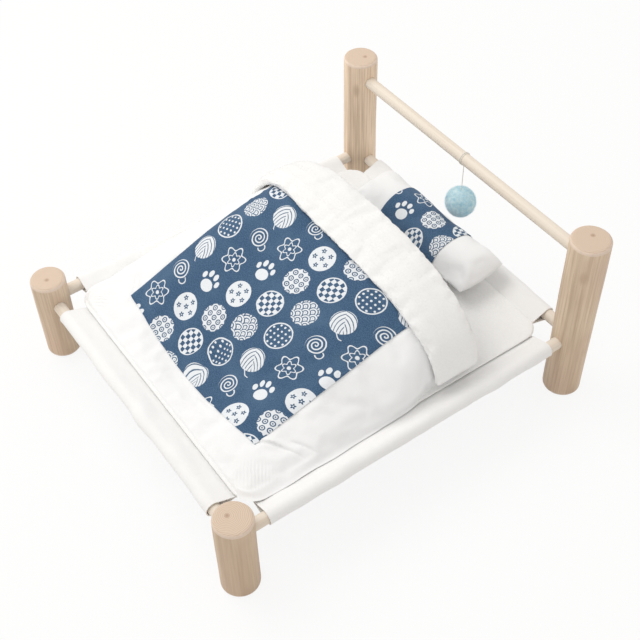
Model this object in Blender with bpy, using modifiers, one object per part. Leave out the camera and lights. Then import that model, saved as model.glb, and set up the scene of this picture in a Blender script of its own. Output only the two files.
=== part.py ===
"""Elevated pet bed: a knock-down timber frame, a cloth sling, a sleeping bag with a pillow, and a hanging toy.

Metres, +Z up. The origin is on the floor at the middle of the four posts. The head of the bed is at +Y.
"""

import math

import bmesh
import bpy
from mathutils import Matrix, Vector

# Timber frame
POST_SPACING_X = 0.424  # between post axes, across the bed
POST_SPACING_Y = 0.476  # between post axes, along the bed
POST_DIAMETER = 0.045
FOOT_POST_HEIGHT = 0.124
HEAD_POST_HEIGHT = 0.248
POST_END_ROUND = 0.0036  # worn edge at both ends of a post
DOWEL_DIAMETER = 0.015
DOWEL_END_CHAMFER = 0.001
SOCKET_DEPTH = 0.0135  # blind hole in a post
SOCKET_CLEARANCE = 0.0003
BED_RAIL_HEIGHT = 0.090  # axes of the four rails that carry the sling
TOY_RAIL_HEIGHT = 0.219  # axis of the rail that joins the head posts

# Sling: one cloth whose four edges are folded round the rails and stitched
SLEEVE_CLOTH = 0.0012
SLEEVE_SLACK = 0.0006  # between a rail and its sleeve
SLEEVE_SEAM = 0.025  # from a rail's axis in to the line of stitching
SIDE_SLEEVE_STOP = 0.039  # from a post's axis to the end of a side sleeve
END_SLEEVE_STOP = 0.046  # from a post's axis to the end of the head or foot sleeve
SLING_THICKNESS = 0.0016
SLING_SAG = 0.014
SLING_EDGE_POWER = 6  # the cloth falls away near the rails and is nearly level between
NOTCH_MARGIN = 0.001  # between the sleeves' ends and the cloth's square cut-outs about the posts
NOTCH_ROUND = 0.006  # inner corner of a cut-out

# Sleeping bag: a plush pad with a quilt sewn to it round three sides
PAD_THICKNESS = 0.009
PAD_EDGE_THICKNESS = 0.004
PAD_EDGE_ROUND = 0.0014
PAD_CROWN_POWER = 6
PAD_SIDE_MARGIN = 0.001  # from the sleeve seam to the pad
PAD_END_MARGIN = 0.003
PAD_CORNER = 0.034
PAD_GAP = 0.0005
QUILT_THICKNESS = 0.006
QUILT_OVERHANG = 0.001  # of the quilt's inner face, past the pad's side edge
QUILT_FOOT_MARGIN = 0.003  # from the pad's foot edge to the quilt's hem
QUILT_CORNER = 0.034
QUILT_MOUTH_MARGIN = 0.106  # from the pad's head edge to the quilt's mouth
QUILT_MOUTH_DRAW_IN = 0.010  # how much narrower the quilt is at its mouth
DRAW_IN_LENGTH = 0.060
QUILT_RISE = 0.102  # height of the pocket at the mouth
QUILT_RISE_POWER = 1.1
QUILT_CREST_MARGIN = 0.044  # from the mouth to where the rise reaches its full height
MOUTH_ARCH_POWER = 0.8  # 2 over the exponent of the superellipse arch
FOOT_ARCH_POWER = 0.5
SIDE_TAUTNESS = 0.85  # how straight the quilt runs from the patch down to its side hems, near the foot
TAUT_MARGIN = 0.147  # from the foot hem to where that starts to fade
TAUT_LENGTH = 0.105
QUILT_GAP = 0.0012
DIP_DEPTH = 0.012  # the quilt sinks in the middle of its foot end
DIP_HALF_WIDTH = 0.120
DIP_MARGIN = 0.042  # from the foot hem to where it lies lowest
DIP_LENGTH = 0.105  # from there to where the dip ends
PATCH_HALF_WIDTH = 0.137
PATCH_MARGIN = 0.045  # from the foot hem to the patch
PATCH_TUCK = 0.010  # how far the patch runs under the cuff
PATCH_THICKNESS = 0.001
PATCH_GAP = 0.0007
CUFF_WIDTH = 0.063
CUFF_OVERHANG = 0.004  # past the quilt's mouth
CUFF_THICKNESS = 0.010
CUFF_ROUND = 0.0042
CUFF_GAP = 0.0005
CUFF_LIFT = 0.014  # how far its two ends stop above the quilt's hems

# Pillow
PILLOW_LENGTH = 0.230
PILLOW_DEPTH = 0.071
PILLOW_THICKNESS = 0.038
PILLOW_CENTRE_X = -0.014
PILLOW_MARGIN = 0.017  # from the pad's head edge to the pillow's middle
PILLOW_POWERS = (8.0, 2.5, 2.1)
PILLOW_GAP = 0.0004
BAND_LENGTH = 0.109
BAND_THICKNESS = 0.001
BAND_GAP = 0.0004

# Hanging toy
TOY_X = 0.0
CORD_DIAMETER = 0.001
LOOP_SLACK = 0.0003
KNOT_DIAMETER = 0.0026
POMPOM_DIAMETER = 0.038
POMPOM_HEIGHT = 0.1505  # centre of the ball
TOY_GAP = 0.0003

# Fineness of the meshes
POST_SIDES = 36
DOWEL_SIDES = 24
SLEEVE_ARC_STEPS = 14
CLOTH_COLUMNS = 16
CLOTH_ROWS = 18
BORDER_COLUMNS = 5  # of the quilt, from its hem to the patch
PATCH_COLUMNS = 14
CORNER_ROWS = 3
PATCH_ROWS = 9
CUFF_ROWS = 3

# Derived sizes
HALF_X = POST_SPACING_X / 2
HALF_Y = POST_SPACING_Y / 2
POST_RADIUS = POST_DIAMETER / 2
DOWEL_RADIUS = DOWEL_DIAMETER / 2
DOWEL_END = POST_RADIUS - SOCKET_DEPTH + SOCKET_CLEARANCE  # from the post's axis to the dowel's end face
SLEEVE_INNER = DOWEL_RADIUS + SLEEVE_SLACK
SLEEVE_OUTER = SLEEVE_INNER + SLEEVE_CLOTH
SEAM_TIP = SLEEVE_CLOTH * SLEEVE_SEAM / SLEEVE_OUTER  # solid cloth between the bore and the stitching
SLING_HALF_X = HALF_X - SLEEVE_SEAM + SEAM_TIP / 2
SLING_HALF_Y = HALF_Y - SLEEVE_SEAM + SEAM_TIP / 2
PAD_HALF_X = HALF_X - SLEEVE_SEAM - PAD_SIDE_MARGIN
PAD_HALF_Y = HALF_Y - SLEEVE_SEAM - PAD_END_MARGIN
QUILT_HALF_X = PAD_HALF_X + QUILT_OVERHANG
QUILT_FOOT_Y = QUILT_FOOT_MARGIN - PAD_HALF_Y
QUILT_MOUTH_Y = PAD_HALF_Y - QUILT_MOUTH_MARGIN
QUILT_CREST_Y = QUILT_MOUTH_Y - QUILT_CREST_MARGIN
DIP_LOWEST_Y = QUILT_FOOT_Y + DIP_MARGIN
DIP_END_Y = DIP_LOWEST_Y + DIP_LENGTH
TAUT_START_Y = QUILT_FOOT_Y + TAUT_MARGIN
TAUT_END_Y = TAUT_START_Y + TAUT_LENGTH
CUFF_HEAD_Y = QUILT_MOUTH_Y + CUFF_OVERHANG
CUFF_FOOT_Y = CUFF_HEAD_Y - CUFF_WIDTH
PATCH_FOOT_Y = QUILT_FOOT_Y + PATCH_MARGIN
PATCH_HEAD_Y = CUFF_FOOT_Y + PATCH_TUCK
PILLOW_CENTRE_Y = PAD_HALF_Y - PILLOW_MARGIN
PATCH_OFFSET = QUILT_THICKNESS + PATCH_GAP
CUFF_OFFSET = PATCH_OFFSET + PATCH_THICKNESS + CUFF_GAP

POSTS = {
    "foot_post_left": (-1, -1, FOOT_POST_HEIGHT),
    "foot_post_right": (1, -1, FOOT_POST_HEIGHT),
    "head_post_left": (-1, 1, HEAD_POST_HEIGHT),
    "head_post_right": (1, 1, HEAD_POST_HEIGHT),
}


def clear_scene():
    for obj in list(bpy.data.objects):
        bpy.data.objects.remove(obj)


def collection(name, hidden=False):
    made = bpy.data.collections.new(name)
    bpy.context.scene.collection.children.link(made)
    made.hide_render = hidden
    return made


def material(name, colour, roughness):
    made = bpy.data.materials.new(name)
    made.use_nodes = True
    shader = made.node_tree.nodes["Principled BSDF"]
    shader.inputs["Base Color"].default_value = (*colour, 1.0)
    shader.inputs["Roughness"].default_value = roughness
    shader.inputs["Metallic"].default_value = 0.0
    made.diffuse_color = (*colour, 1.0)
    return made


def place(obj, home, finish=None, smooth_angle=35.0):
    """Puts an object in one collection only and gives it its material and shading."""
    for owner in list(obj.users_collection):
        owner.objects.unlink(obj)
    home.objects.link(obj)
    if finish is not None:
        obj.data.materials.clear()
        obj.data.materials.append(finish)
    if obj.type == "MESH":
        obj.data.shade_smooth()
        obj.data.set_sharp_from_angle(angle=math.radians(smooth_angle))
    return obj


def as_cutter(obj):
    obj.hide_render = True
    obj.display_type = "WIRE"
    return place(obj, cutters)


def mesh_object(name, shape):
    """A new object from a bmesh, with its faces pointing out."""
    data = bpy.data.meshes.new(name)
    shape.to_mesh(data)
    shape.free()
    return bpy.data.objects.new(name, data)


def add_modifier(obj, kind, **settings):
    modifier = obj.modifiers.new(kind.title(), kind)
    for key, value in settings.items():
        setattr(modifier, key, value)
    return modifier


def boolean(obj, operation, other):
    add_modifier(obj, "BOOLEAN", operation=operation, object=other, solver="EXACT")


def facing(direction, origin):
    """Matrix that turns local +Z to a direction and moves to an origin."""
    turn = Vector((0, 0, 1)).rotation_difference(Vector(direction)).to_matrix().to_4x4()
    return Matrix.Translation(origin) @ turn


def smoothstep(value, low, high):
    share = min(1.0, max(0.0, (value - low) / (high - low)))
    return share * share * (3 - 2 * share)


def signed_power(value, power):
    return math.copysign(abs(value) ** power, value)


def tray(x, y, half_x, half_y, power):
    """1 over most of a rectangle and 0 at its edges."""
    return max(0.0, 1 - abs(x / half_x) ** power) * max(0.0, 1 - abs(y / half_y) ** power)


def sling_level(x, y):
    """Middle of the sling's cloth, which hangs in a shallow tray between the rails."""
    return BED_RAIL_HEIGHT - SLING_SAG * tray(x, y, SLING_HALF_X, SLING_HALF_Y, SLING_EDGE_POWER)


def pad_bottom(x, y):
    return sling_level(x, y) + SLING_THICKNESS / 2 + PAD_GAP


def pad_top(x, y):
    crown = tray(x, y, PAD_HALF_X, PAD_HALF_Y, PAD_CROWN_POWER)
    return pad_bottom(x, y) + PAD_EDGE_THICKNESS + (PAD_THICKNESS - PAD_EDGE_THICKNESS) * crown


def quilt_half_width(y):
    """Inner half-width of the quilt: rounded at the foot corners and drawn in at the mouth."""
    half = QUILT_HALF_X - QUILT_MOUTH_DRAW_IN * smoothstep(y, QUILT_CREST_Y - DRAW_IN_LENGTH, QUILT_CREST_Y)
    into_corner = QUILT_FOOT_Y + QUILT_CORNER - y
    if into_corner > 0:
        half -= QUILT_CORNER - math.sqrt(max(0.0, QUILT_CORNER**2 - into_corner**2))
    return half


def quilt_rise(y):
    share = min(1.0, max(0.0, (y - QUILT_FOOT_Y) / (QUILT_CREST_Y - QUILT_FOOT_Y)))
    return QUILT_RISE * share**QUILT_RISE_POWER


def arch_power(y):
    """The arch is squarer at the foot than at the mouth."""
    return FOOT_ARCH_POWER + (MOUTH_ARCH_POWER - FOOT_ARCH_POWER) * smoothstep(y, QUILT_FOOT_Y, QUILT_CREST_Y)


def taut_rise(x, y, rise):
    """Pulls the arch straight between the patch's edge and the side hem."""
    beyond_patch = abs(x) - PATCH_HALF_WIDTH
    if beyond_patch <= 0:
        return rise
    half = quilt_half_width(y)
    power = arch_power(y)
    shoulder = quilt_rise(y) * (1 - (PATCH_HALF_WIDTH / half) ** (2 / power)) ** (power / 2)
    straight = shoulder * (1 - beyond_patch / (half - PATCH_HALF_WIDTH))
    taut = SIDE_TAUTNESS * (1 - smoothstep(y, TAUT_START_Y, TAUT_END_Y))
    return rise + (straight - rise) * taut


def quilt_inner(angle, y):
    """A point on the quilt's inner face. The angle runs from pi at the left hem over the crest to 0 at the right."""
    power = arch_power(y)
    x = quilt_half_width(y) * signed_power(math.cos(angle), power)
    rise = taut_rise(x, y, quilt_rise(y) * signed_power(math.sin(angle), power))
    across = max(0.0, 1 - (x / DIP_HALF_WIDTH) ** 2) ** 2
    along = smoothstep(y, QUILT_FOOT_Y, DIP_LOWEST_Y) * (1 - smoothstep(y, DIP_LOWEST_Y, DIP_END_Y))
    return Vector((x, y, pad_top(x, y) + QUILT_GAP + rise - DIP_DEPTH * across * along))


def quilt_offset(angle, y, distance):
    """A point at a distance outside the quilt's inner face."""
    step = 1e-3
    low, high = max(0.0, angle - step), min(math.pi, angle + step)
    across = quilt_inner(low, y) - quilt_inner(high, y)
    along = quilt_inner(angle, y + step) - quilt_inner(angle, y - step)
    return quilt_inner(angle, y) + across.cross(along).normalized() * distance


def angle_at(x, y):
    """The arch angle at which the quilt's inner face is at this x."""
    share = min(1.0, max(-1.0, x / quilt_half_width(y)))
    return math.acos(signed_power(share, 1 / arch_power(y)))


def spaced(low, high, count):
    """Evenly spaced places, of which the first and the last are exact."""
    return [low * (1 - i / count) + high * (i / count) for i in range(count + 1)]


def spread(half, count):
    """Places from -half to half that lie closer together towards both ends."""
    return [half * math.sin(turn) for turn in spaced(-math.pi / 2, math.pi / 2, count)]


def grid_shape(columns, rows, point):
    """A sheet whose grid vertices are moved to point(column number, row's y)."""
    shape = bmesh.new()
    bmesh.ops.create_grid(shape, x_segments=columns, y_segments=len(rows) - 1, size=1.0)
    for vertex in shape.verts:
        column = round((vertex.co.x + 1) / 2 * columns)
        row = round((vertex.co.y + 1) / 2 * (len(rows) - 1))
        vertex.co = point(column, rows[row])
    return shape


def grid_object(name, columns, rows, point):
    return mesh_object(name, grid_shape(columns, rows, point))


def cylinder(name, radius, start, end, sides, finish=None, home=None, chamfer=0.0, segments=1):
    """A round bar between two points, with its rims chamfered or rounded."""
    start, end = Vector(start), Vector(end)
    shape = bmesh.new()
    bmesh.ops.create_cone(
        shape, cap_ends=True, segments=sides, radius1=radius, radius2=radius, depth=(end - start).length
    )
    obj = mesh_object(name, shape)
    obj.matrix_world = facing(end - start, (start + end) / 2)
    if chamfer:
        add_modifier(obj, "BEVEL", width=chamfer, segments=segments, limit_method="ANGLE", angle_limit=math.radians(60))
    return place(obj, home or parts, finish)


def socket_cutter(name, post, toward, height):
    """Cutter for the blind hole that a rail's end goes into."""
    toward = Vector(toward)
    axis = Vector((post[0] * HALF_X, post[1] * HALF_Y, height))
    bottom = axis + toward * (POST_RADIUS - SOCKET_DEPTH)
    mouth = axis + toward * (POST_RADIUS + DOWEL_RADIUS)
    cutter = cylinder(name, DOWEL_RADIUS + SOCKET_CLEARANCE, bottom, mouth, DOWEL_SIDES, home=cutters)
    return as_cutter(cutter)


def make_post(name, side, end, height):
    """A round post with a blind socket for each rail that it carries."""
    foot = (side * HALF_X, end * HALF_Y, 0.0)
    top = (side * HALF_X, end * HALF_Y, height)
    post = cylinder(name, POST_RADIUS, foot, top, POST_SIDES, wood, chamfer=POST_END_ROUND, segments=2)
    sockets = [("side", (0, -end, 0), BED_RAIL_HEIGHT), ("end", (-side, 0, 0), BED_RAIL_HEIGHT)]
    if end > 0:
        sockets.append(("toy", (-side, 0, 0), TOY_RAIL_HEIGHT))
    for label, toward, level in sockets:
        boolean(post, "DIFFERENCE", socket_cutter(f"{name}_{label}_socket", (side, end), toward, level))


def make_rails():
    reach_x, reach_y = HALF_X - DOWEL_END, HALF_Y - DOWEL_END
    for name, x in (("side_rail_left", -HALF_X), ("side_rail_right", HALF_X)):
        make_rail(name, (x, -reach_y, BED_RAIL_HEIGHT), (x, reach_y, BED_RAIL_HEIGHT))
    for name, y, z in (
        ("foot_rail", -HALF_Y, BED_RAIL_HEIGHT),
        ("head_rail", HALF_Y, BED_RAIL_HEIGHT),
        ("toy_rail", HALF_Y, TOY_RAIL_HEIGHT),
    ):
        make_rail(name, (-reach_x, y, z), (reach_x, y, z))


def make_rail(name, start, end):
    cylinder(name, DOWEL_RADIUS, start, end, DOWEL_SIDES, dowel_wood, chamfer=DOWEL_END_CHAMFER)


def teardrop(radius, tip):
    """Outline of a sleeve: round the rail, then straight to the stitching at -X."""
    turn = math.pi - math.acos(radius / tip)
    arc = [turn - 2 * turn * i / SLEEVE_ARC_STEPS for i in range(SLEEVE_ARC_STEPS + 1)]
    return [(-tip, 0.0)] + [(radius * math.cos(a), radius * math.sin(a)) for a in arc]


def sleeve(name, centre, outward, length):
    """A tube of cloth round one rail, as a flat outline with a hole, extruded along the rail."""
    curve = bpy.data.curves.new(name, "CURVE")
    curve.dimensions = "2D"
    curve.fill_mode = "BOTH"
    curve.extrude = length / 2
    for radius, tip in ((SLEEVE_OUTER, SLEEVE_SEAM), (SLEEVE_INNER, SLEEVE_SEAM - SEAM_TIP)):
        outline = teardrop(radius, tip)
        spline = curve.splines.new("POLY")
        spline.points.add(len(outline) - 1)
        spline.use_cyclic_u = True
        for point, (u, w) in zip(spline.points, outline):
            point.co = (u, w, 0.0, 1.0)
    guide = bpy.data.objects.new(name, curve)
    up = Vector((0, 0, 1))
    outward = Vector(outward)
    axes = Matrix((outward, up, outward.cross(up))).transposed().to_4x4()
    guide.matrix_world = Matrix.Translation(centre) @ axes
    parts.objects.link(guide)
    bpy.context.view_layer.update()
    made = meshed(guide, name)
    return as_cutter(made)


def meshed(guide, name):
    """A curve object's mesh as a new object in the same place, with its caps welded. The curve is removed."""
    evaluated = guide.evaluated_get(bpy.context.evaluated_depsgraph_get())
    data = bpy.data.meshes.new_from_object(evaluated)
    where = guide.matrix_world.copy()
    bpy.data.objects.remove(guide)
    shape = bmesh.new()
    shape.from_mesh(data)
    bmesh.ops.remove_doubles(shape, verts=shape.verts, dist=1e-6)
    bmesh.ops.recalc_face_normals(shape, faces=shape.faces)
    shape.to_mesh(data)
    shape.free()
    made = bpy.data.objects.new(name, data)
    made.matrix_world = where
    return made


def notch_block(name, side, end):
    """A square cut-out of the cloth about one post, with its inner corner rounded."""
    inner = Vector((HALF_X - END_SLEEVE_STOP + NOTCH_MARGIN, HALF_Y - SIDE_SLEEVE_STOP + NOTCH_MARGIN))
    shape = bmesh.new()
    bmesh.ops.create_cube(shape, size=1.0)
    for vertex in shape.verts:
        across, along, up = vertex.co
        vertex.co.x = inner.x if across < 0 else HALF_X
        vertex.co.y = inner.y if along < 0 else HALF_Y
        vertex.co.z = BED_RAIL_HEIGHT + math.copysign(SLING_SAG + SLEEVE_SEAM, up)
    corner = [
        edge for edge in shape.edges if all(v.co.x < inner.x + 1e-6 and v.co.y < inner.y + 1e-6 for v in edge.verts)
    ]
    bmesh.ops.bevel(shape, geom=corner, offset=NOTCH_ROUND, segments=4, profile=0.5, affect="EDGES")
    bmesh.ops.scale(shape, vec=(side, end, 1), verts=shape.verts)
    if side * end < 0:
        bmesh.ops.reverse_faces(shape, faces=shape.faces)
    return place(mesh_object(name, shape), cutters)


def make_sling():
    """The sagging cloth, notched round the posts, joined to its four sleeves."""
    xs = spread(SLING_HALF_X, CLOTH_COLUMNS)
    ys = spread(SLING_HALF_Y, CLOTH_ROWS)
    panel = grid_object("sling", CLOTH_COLUMNS, ys, lambda column, y: (xs[column], y, sling_level(xs[column], y)))
    place(panel, parts, canvas)
    add_modifier(panel, "SOLIDIFY", thickness=SLING_THICKNESS, offset=0.0, use_even_offset=True)
    for name, (side, end, _) in POSTS.items():
        boolean(panel, "DIFFERENCE", as_cutter(notch_block(f"{name}_notch", side, end)))
    side_length = POST_SPACING_Y - 2 * SIDE_SLEEVE_STOP
    end_length = POST_SPACING_X - 2 * END_SLEEVE_STOP
    for label, outward, length in (
        ("right", (1, 0, 0), side_length),
        ("left", (-1, 0, 0), side_length),
        ("head", (0, 1, 0), end_length),
        ("foot", (0, -1, 0), end_length),
    ):
        centre = (outward[0] * HALF_X, outward[1] * HALF_Y, BED_RAIL_HEIGHT)
        boolean(panel, "UNION", sleeve(f"{label}_sleeve", centre, outward, length))


def corner_steps(corner):
    """Distances into a rounded corner from its edge, for equal turns of the arc."""
    return [corner * (1 - math.cos(math.pi / 2 * i / CORNER_ROWS)) for i in range(CORNER_ROWS)]


def pad_half_width(y):
    into_corner = abs(y) - (PAD_HALF_Y - PAD_CORNER)
    if into_corner <= 0:
        return PAD_HALF_X
    return PAD_HALF_X - PAD_CORNER + math.sqrt(max(0.0, PAD_CORNER**2 - into_corner**2))


def make_pad():
    """The plush pad lies on the sling, follows its tray and thins out towards its edges."""

    def point(column, y):
        x = spread(pad_half_width(y), CLOTH_COLUMNS)[column]
        return (x, y, pad_bottom(x, y))

    bend = corner_steps(PAD_CORNER)
    middle = spaced(PAD_CORNER - PAD_HALF_Y, PAD_HALF_Y - PAD_CORNER, CLOTH_ROWS - 2 * CORNER_ROWS)
    rows = [b - PAD_HALF_Y for b in bend] + middle + [PAD_HALF_Y - b for b in reversed(bend)]
    shape = grid_shape(CLOTH_COLUMNS, rows, point)
    raised = bmesh.ops.extrude_face_region(shape, geom=shape.faces[:])["geom"]
    for vertex in raised:
        if isinstance(vertex, bmesh.types.BMVert):
            vertex.co.z = pad_top(vertex.co.x, vertex.co.y)
    bmesh.ops.recalc_face_normals(shape, faces=shape.faces)
    pad = place(mesh_object("mattress_pad", shape), parts, plush)
    add_modifier(
        pad, "BEVEL", width=PAD_EDGE_ROUND, segments=2, limit_method="ANGLE", angle_limit=math.radians(50)
    )


def arch_angles(y):
    """The quilt's grid lines across the arch, left hem to right hem, with the patch's edges among them."""
    edge = angle_at(PATCH_HALF_WIDTH, y)
    right = spaced(0.0, edge, BORDER_COLUMNS)
    middle = spaced(edge, math.pi - edge, PATCH_COLUMNS)
    left = spaced(math.pi - edge, math.pi, BORDER_COLUMNS)
    return (right[:-1] + middle + left[1:])[::-1]


def quilt_rows():
    """The quilt's grid lines along the bed, with the ends of the patch and of the cuff among them."""
    bend = [QUILT_FOOT_Y + step for step in corner_steps(QUILT_CORNER)]
    patch = spaced(PATCH_FOOT_Y, CUFF_FOOT_Y, PATCH_ROWS)
    return sorted(bend + patch + spaced(PATCH_HEAD_Y, QUILT_MOUTH_Y, CUFF_ROWS))


def make_quilt():
    """The quilt is an arched shell: hemmed to the pad at the sides and foot, open at the head."""
    columns = 2 * BORDER_COLUMNS + PATCH_COLUMNS
    shell = grid_object("quilt", columns, quilt_rows(), lambda column, y: quilt_inner(arch_angles(y)[column], y))
    place(shell, parts, cotton)
    add_modifier(shell, "SOLIDIFY", thickness=QUILT_THICKNESS, offset=1.0)


def make_patch():
    """The printed panel that is sewn on the middle of the quilt."""
    rows = [y for y in quilt_rows() if PATCH_FOOT_Y <= y <= PATCH_HEAD_Y]
    patch = grid_object(
        "quilt_patch",
        PATCH_COLUMNS,
        rows,
        lambda column, y: quilt_offset(arch_angles(y)[BORDER_COLUMNS + column], y, PATCH_OFFSET),
    )
    place(patch, parts, print_cotton)
    add_modifier(patch, "SOLIDIFY", thickness=PATCH_THICKNESS, offset=1.0)


def make_cuff():
    """The plush lining turned back over the quilt's mouth as a thick rounded band."""
    end = math.asin((CUFF_LIFT / QUILT_RISE) ** (1 / MOUTH_ARCH_POWER))

    def point(column, y):
        angle = min(math.pi - end, max(end, arch_angles(y)[column]))
        return quilt_offset(angle, y, CUFF_OFFSET)

    rows = [y for y in quilt_rows() if y >= CUFF_FOOT_Y] + [CUFF_HEAD_Y]
    columns = 2 * BORDER_COLUMNS + PATCH_COLUMNS
    cuff = place(grid_object("quilt_cuff", columns, rows, point), parts, plush)
    add_modifier(cuff, "SOLIDIFY", thickness=CUFF_THICKNESS, offset=1.0)
    add_modifier(cuff, "BEVEL", width=CUFF_ROUND, segments=2, limit_method="ANGLE", angle_limit=math.radians(60))


def cushion_mesh(half_sizes, powers, cuts):
    """A crowned cushion: a finely cut cube pushed out to a superellipsoid."""
    shape = bmesh.new()
    bmesh.ops.create_cube(shape, size=2.0)
    for axis, count in enumerate(cuts):
        along = [e for e in shape.edges if abs((e.verts[0].co - e.verts[1].co)[axis]) > 1e-6]
        bmesh.ops.subdivide_edges(shape, edges=along, cuts=count, use_grid_fill=True)
    for vertex in shape.verts:
        low, high = 0.0, 1.0
        for _ in range(40):
            middle = (low + high) / 2
            total = sum(abs(middle * c) ** p for c, p in zip(vertex.co, powers))
            low, high = (middle, high) if total < 1 else (low, middle)
        vertex.co = Vector([low * c * h for c, h in zip(vertex.co, half_sizes)])
    return shape


def bed_top(x, y):
    """The surface that the pillow lies on: the pad, and past it the sling and the head sleeve."""
    if abs(y) <= PAD_HALF_Y and abs(x) <= pad_half_width(y):
        return pad_top(x, y)
    from_rail = HALF_Y - y
    if from_rail > SLEEVE_SEAM:
        return sling_level(x, y) + SLING_THICKNESS / 2
    if from_rail > SLEEVE_OUTER**2 / SLEEVE_SEAM:
        slope = SLEEVE_OUTER / math.sqrt(SLEEVE_SEAM**2 - SLEEVE_OUTER**2)
        return BED_RAIL_HEIGHT + slope * (SLEEVE_SEAM - from_rail)
    return BED_RAIL_HEIGHT + math.sqrt(max(0.0, SLEEVE_OUTER**2 - from_rail**2))


def pillow_height(half):
    """The height at which the pillow's underside, a superellipsoid, just clears the bed."""
    needed = []
    for along in spaced(-1.0, 1.0, 30):
        for across in spaced(-1.0, 1.0, 30):
            left = 1 - abs(along) ** PILLOW_POWERS[0] - abs(across) ** PILLOW_POWERS[1]
            if left >= 0:
                below = half.z * left ** (1 / PILLOW_POWERS[2])
                needed.append(bed_top(PILLOW_CENTRE_X + along * half.x, PILLOW_CENTRE_Y + across * half.y) + below)
    return max(needed) + PILLOW_GAP


def make_pillow():
    """A small stuffed pillow with a printed band sewn round its middle."""
    half = Vector((PILLOW_LENGTH, PILLOW_DEPTH, PILLOW_THICKNESS)) / 2
    skin = Vector((0.0, 1.0, 1.0)) * (BAND_GAP + BAND_THICKNESS)
    centre = Vector((PILLOW_CENTRE_X, PILLOW_CENTRE_Y, pillow_height(half + skin)))
    cuts = (15, 7, 3)
    pillow = place(mesh_object("pillow", cushion_mesh(half, PILLOW_POWERS, cuts)), parts, cotton)
    pillow.location = centre

    shape = cushion_mesh(half + skin, PILLOW_POWERS, cuts)
    for side in (-1, 1):
        bmesh.ops.bisect_plane(
            shape,
            geom=shape.verts[:] + shape.edges[:] + shape.faces[:],
            plane_co=(side * BAND_LENGTH / 2, 0, 0),
            plane_no=(side, 0, 0),
            clear_outer=True,
        )
    band = place(mesh_object("pillow_band", shape), parts, print_cotton)
    band.location = centre
    add_modifier(band, "SOLIDIFY", thickness=BAND_THICKNESS, offset=-1.0)


def make_toy():
    """A pompom on a cord, tied round the toy rail with a loose loop."""
    axis = Vector((TOY_X, HALF_Y, TOY_RAIL_HEIGHT))
    ring = DOWEL_RADIUS + LOOP_SLACK + CORD_DIAMETER / 2
    bpy.ops.mesh.primitive_torus_add(
        location=axis,
        rotation=(0, math.pi / 2, 0),
        major_radius=ring,
        minor_radius=CORD_DIAMETER / 2,
        major_segments=DOWEL_SIDES,
        minor_segments=6,
    )
    loop = bpy.context.object
    loop.name = "toy_loop"
    place(loop, parts, string, smooth_angle=80.0)

    knot_z = axis.z - ring - CORD_DIAMETER / 2 - TOY_GAP - KNOT_DIAMETER / 2
    knot = ball("toy_knot", KNOT_DIAMETER / 2, (axis.x, axis.y, knot_z), 10, 8, string)
    pompom = ball("pompom", POMPOM_DIAMETER / 2, (axis.x, axis.y, POMPOM_HEIGHT), 20, 12, wool)
    pompom_top = POMPOM_HEIGHT + POMPOM_DIAMETER / 2
    knot_bottom = knot_z - KNOT_DIAMETER / 2
    cord_line = spaced(knot_bottom - TOY_GAP, pompom_top + TOY_GAP, 14)
    cord = cord_object("toy_cord", [(axis.x, axis.y, z) for z in cord_line])
    hang = bpy.data.objects.new("toy_hang_point", None)
    hang.location = (axis.x, axis.y, knot_z)
    parts.objects.link(hang)
    bpy.context.view_layer.update()
    for piece in (knot, pompom, cord):
        piece.parent = hang
        piece.matrix_parent_inverse = hang.matrix_world.inverted()
    print(f"toy hang point {tuple(round(v, 5) for v in hang.location)}")


def ball(name, radius, centre, around, rings, finish):
    shape = bmesh.new()
    bmesh.ops.create_uvsphere(shape, u_segments=around, v_segments=rings, radius=radius)
    obj = place(mesh_object(name, shape), parts, finish, smooth_angle=80.0)
    obj.location = centre
    return obj


def cord_object(name, points):
    """A round cord through the points, with closed ends."""
    curve = bpy.data.curves.new(name, "CURVE")
    curve.dimensions = "3D"
    curve.bevel_depth = CORD_DIAMETER / 2
    curve.bevel_resolution = 2
    curve.use_fill_caps = True
    spline = curve.splines.new("POLY")
    spline.points.add(len(points) - 1)
    for knot, (x, y, z) in zip(spline.points, points):
        knot.co = (x, y, z, 1.0)
    obj = bpy.data.objects.new(name, curve)
    return place(obj, parts, string)


clear_scene()
parts = collection("elevated_pet_bed")
cutters = collection("cutters", hidden=True)
wood = material("peeled_log", (0.56, 0.43, 0.30), 0.6)
dowel_wood = material("turned_dowel", (0.76, 0.61, 0.44), 0.55)
canvas = material("white_canvas", (0.80, 0.80, 0.77), 0.9)
cotton = material("white_cotton", (0.82, 0.82, 0.81), 0.9)
plush = material("white_plush", (0.86, 0.86, 0.84), 1.0)
print_cotton = material("printed_blue_cotton", (0.055, 0.12, 0.24), 0.85)
string = material("cotton_string", (0.80, 0.78, 0.72), 0.8)
wool = material("pale_blue_wool", (0.36, 0.60, 0.70), 1.0)

for post_name, (post_side, post_end, post_height) in POSTS.items():
    make_post(post_name, post_side, post_end, post_height)
make_rails()
make_sling()
make_pad()
make_quilt()
make_patch()
make_cuff()
make_pillow()
make_toy()
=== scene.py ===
# %% [markdown]
# # Elevated pet bed
# The bed is four natural log posts joined by dowels, a cotton sling pulled over the dowels, a padded
# sleeping bag with a printed patch and a turned-back plush cuff, a small pillow, and a pompom on a thread.
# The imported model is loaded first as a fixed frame. It says where every piece is. This script gives the
# pieces their finish and builds the soft ones again with all their folds.

# %% Load the frame
import math
import random
from functools import partialmethod

import bmesh
import bpy
import numpy as np
from mathutils import Matrix, Vector, noise


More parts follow.
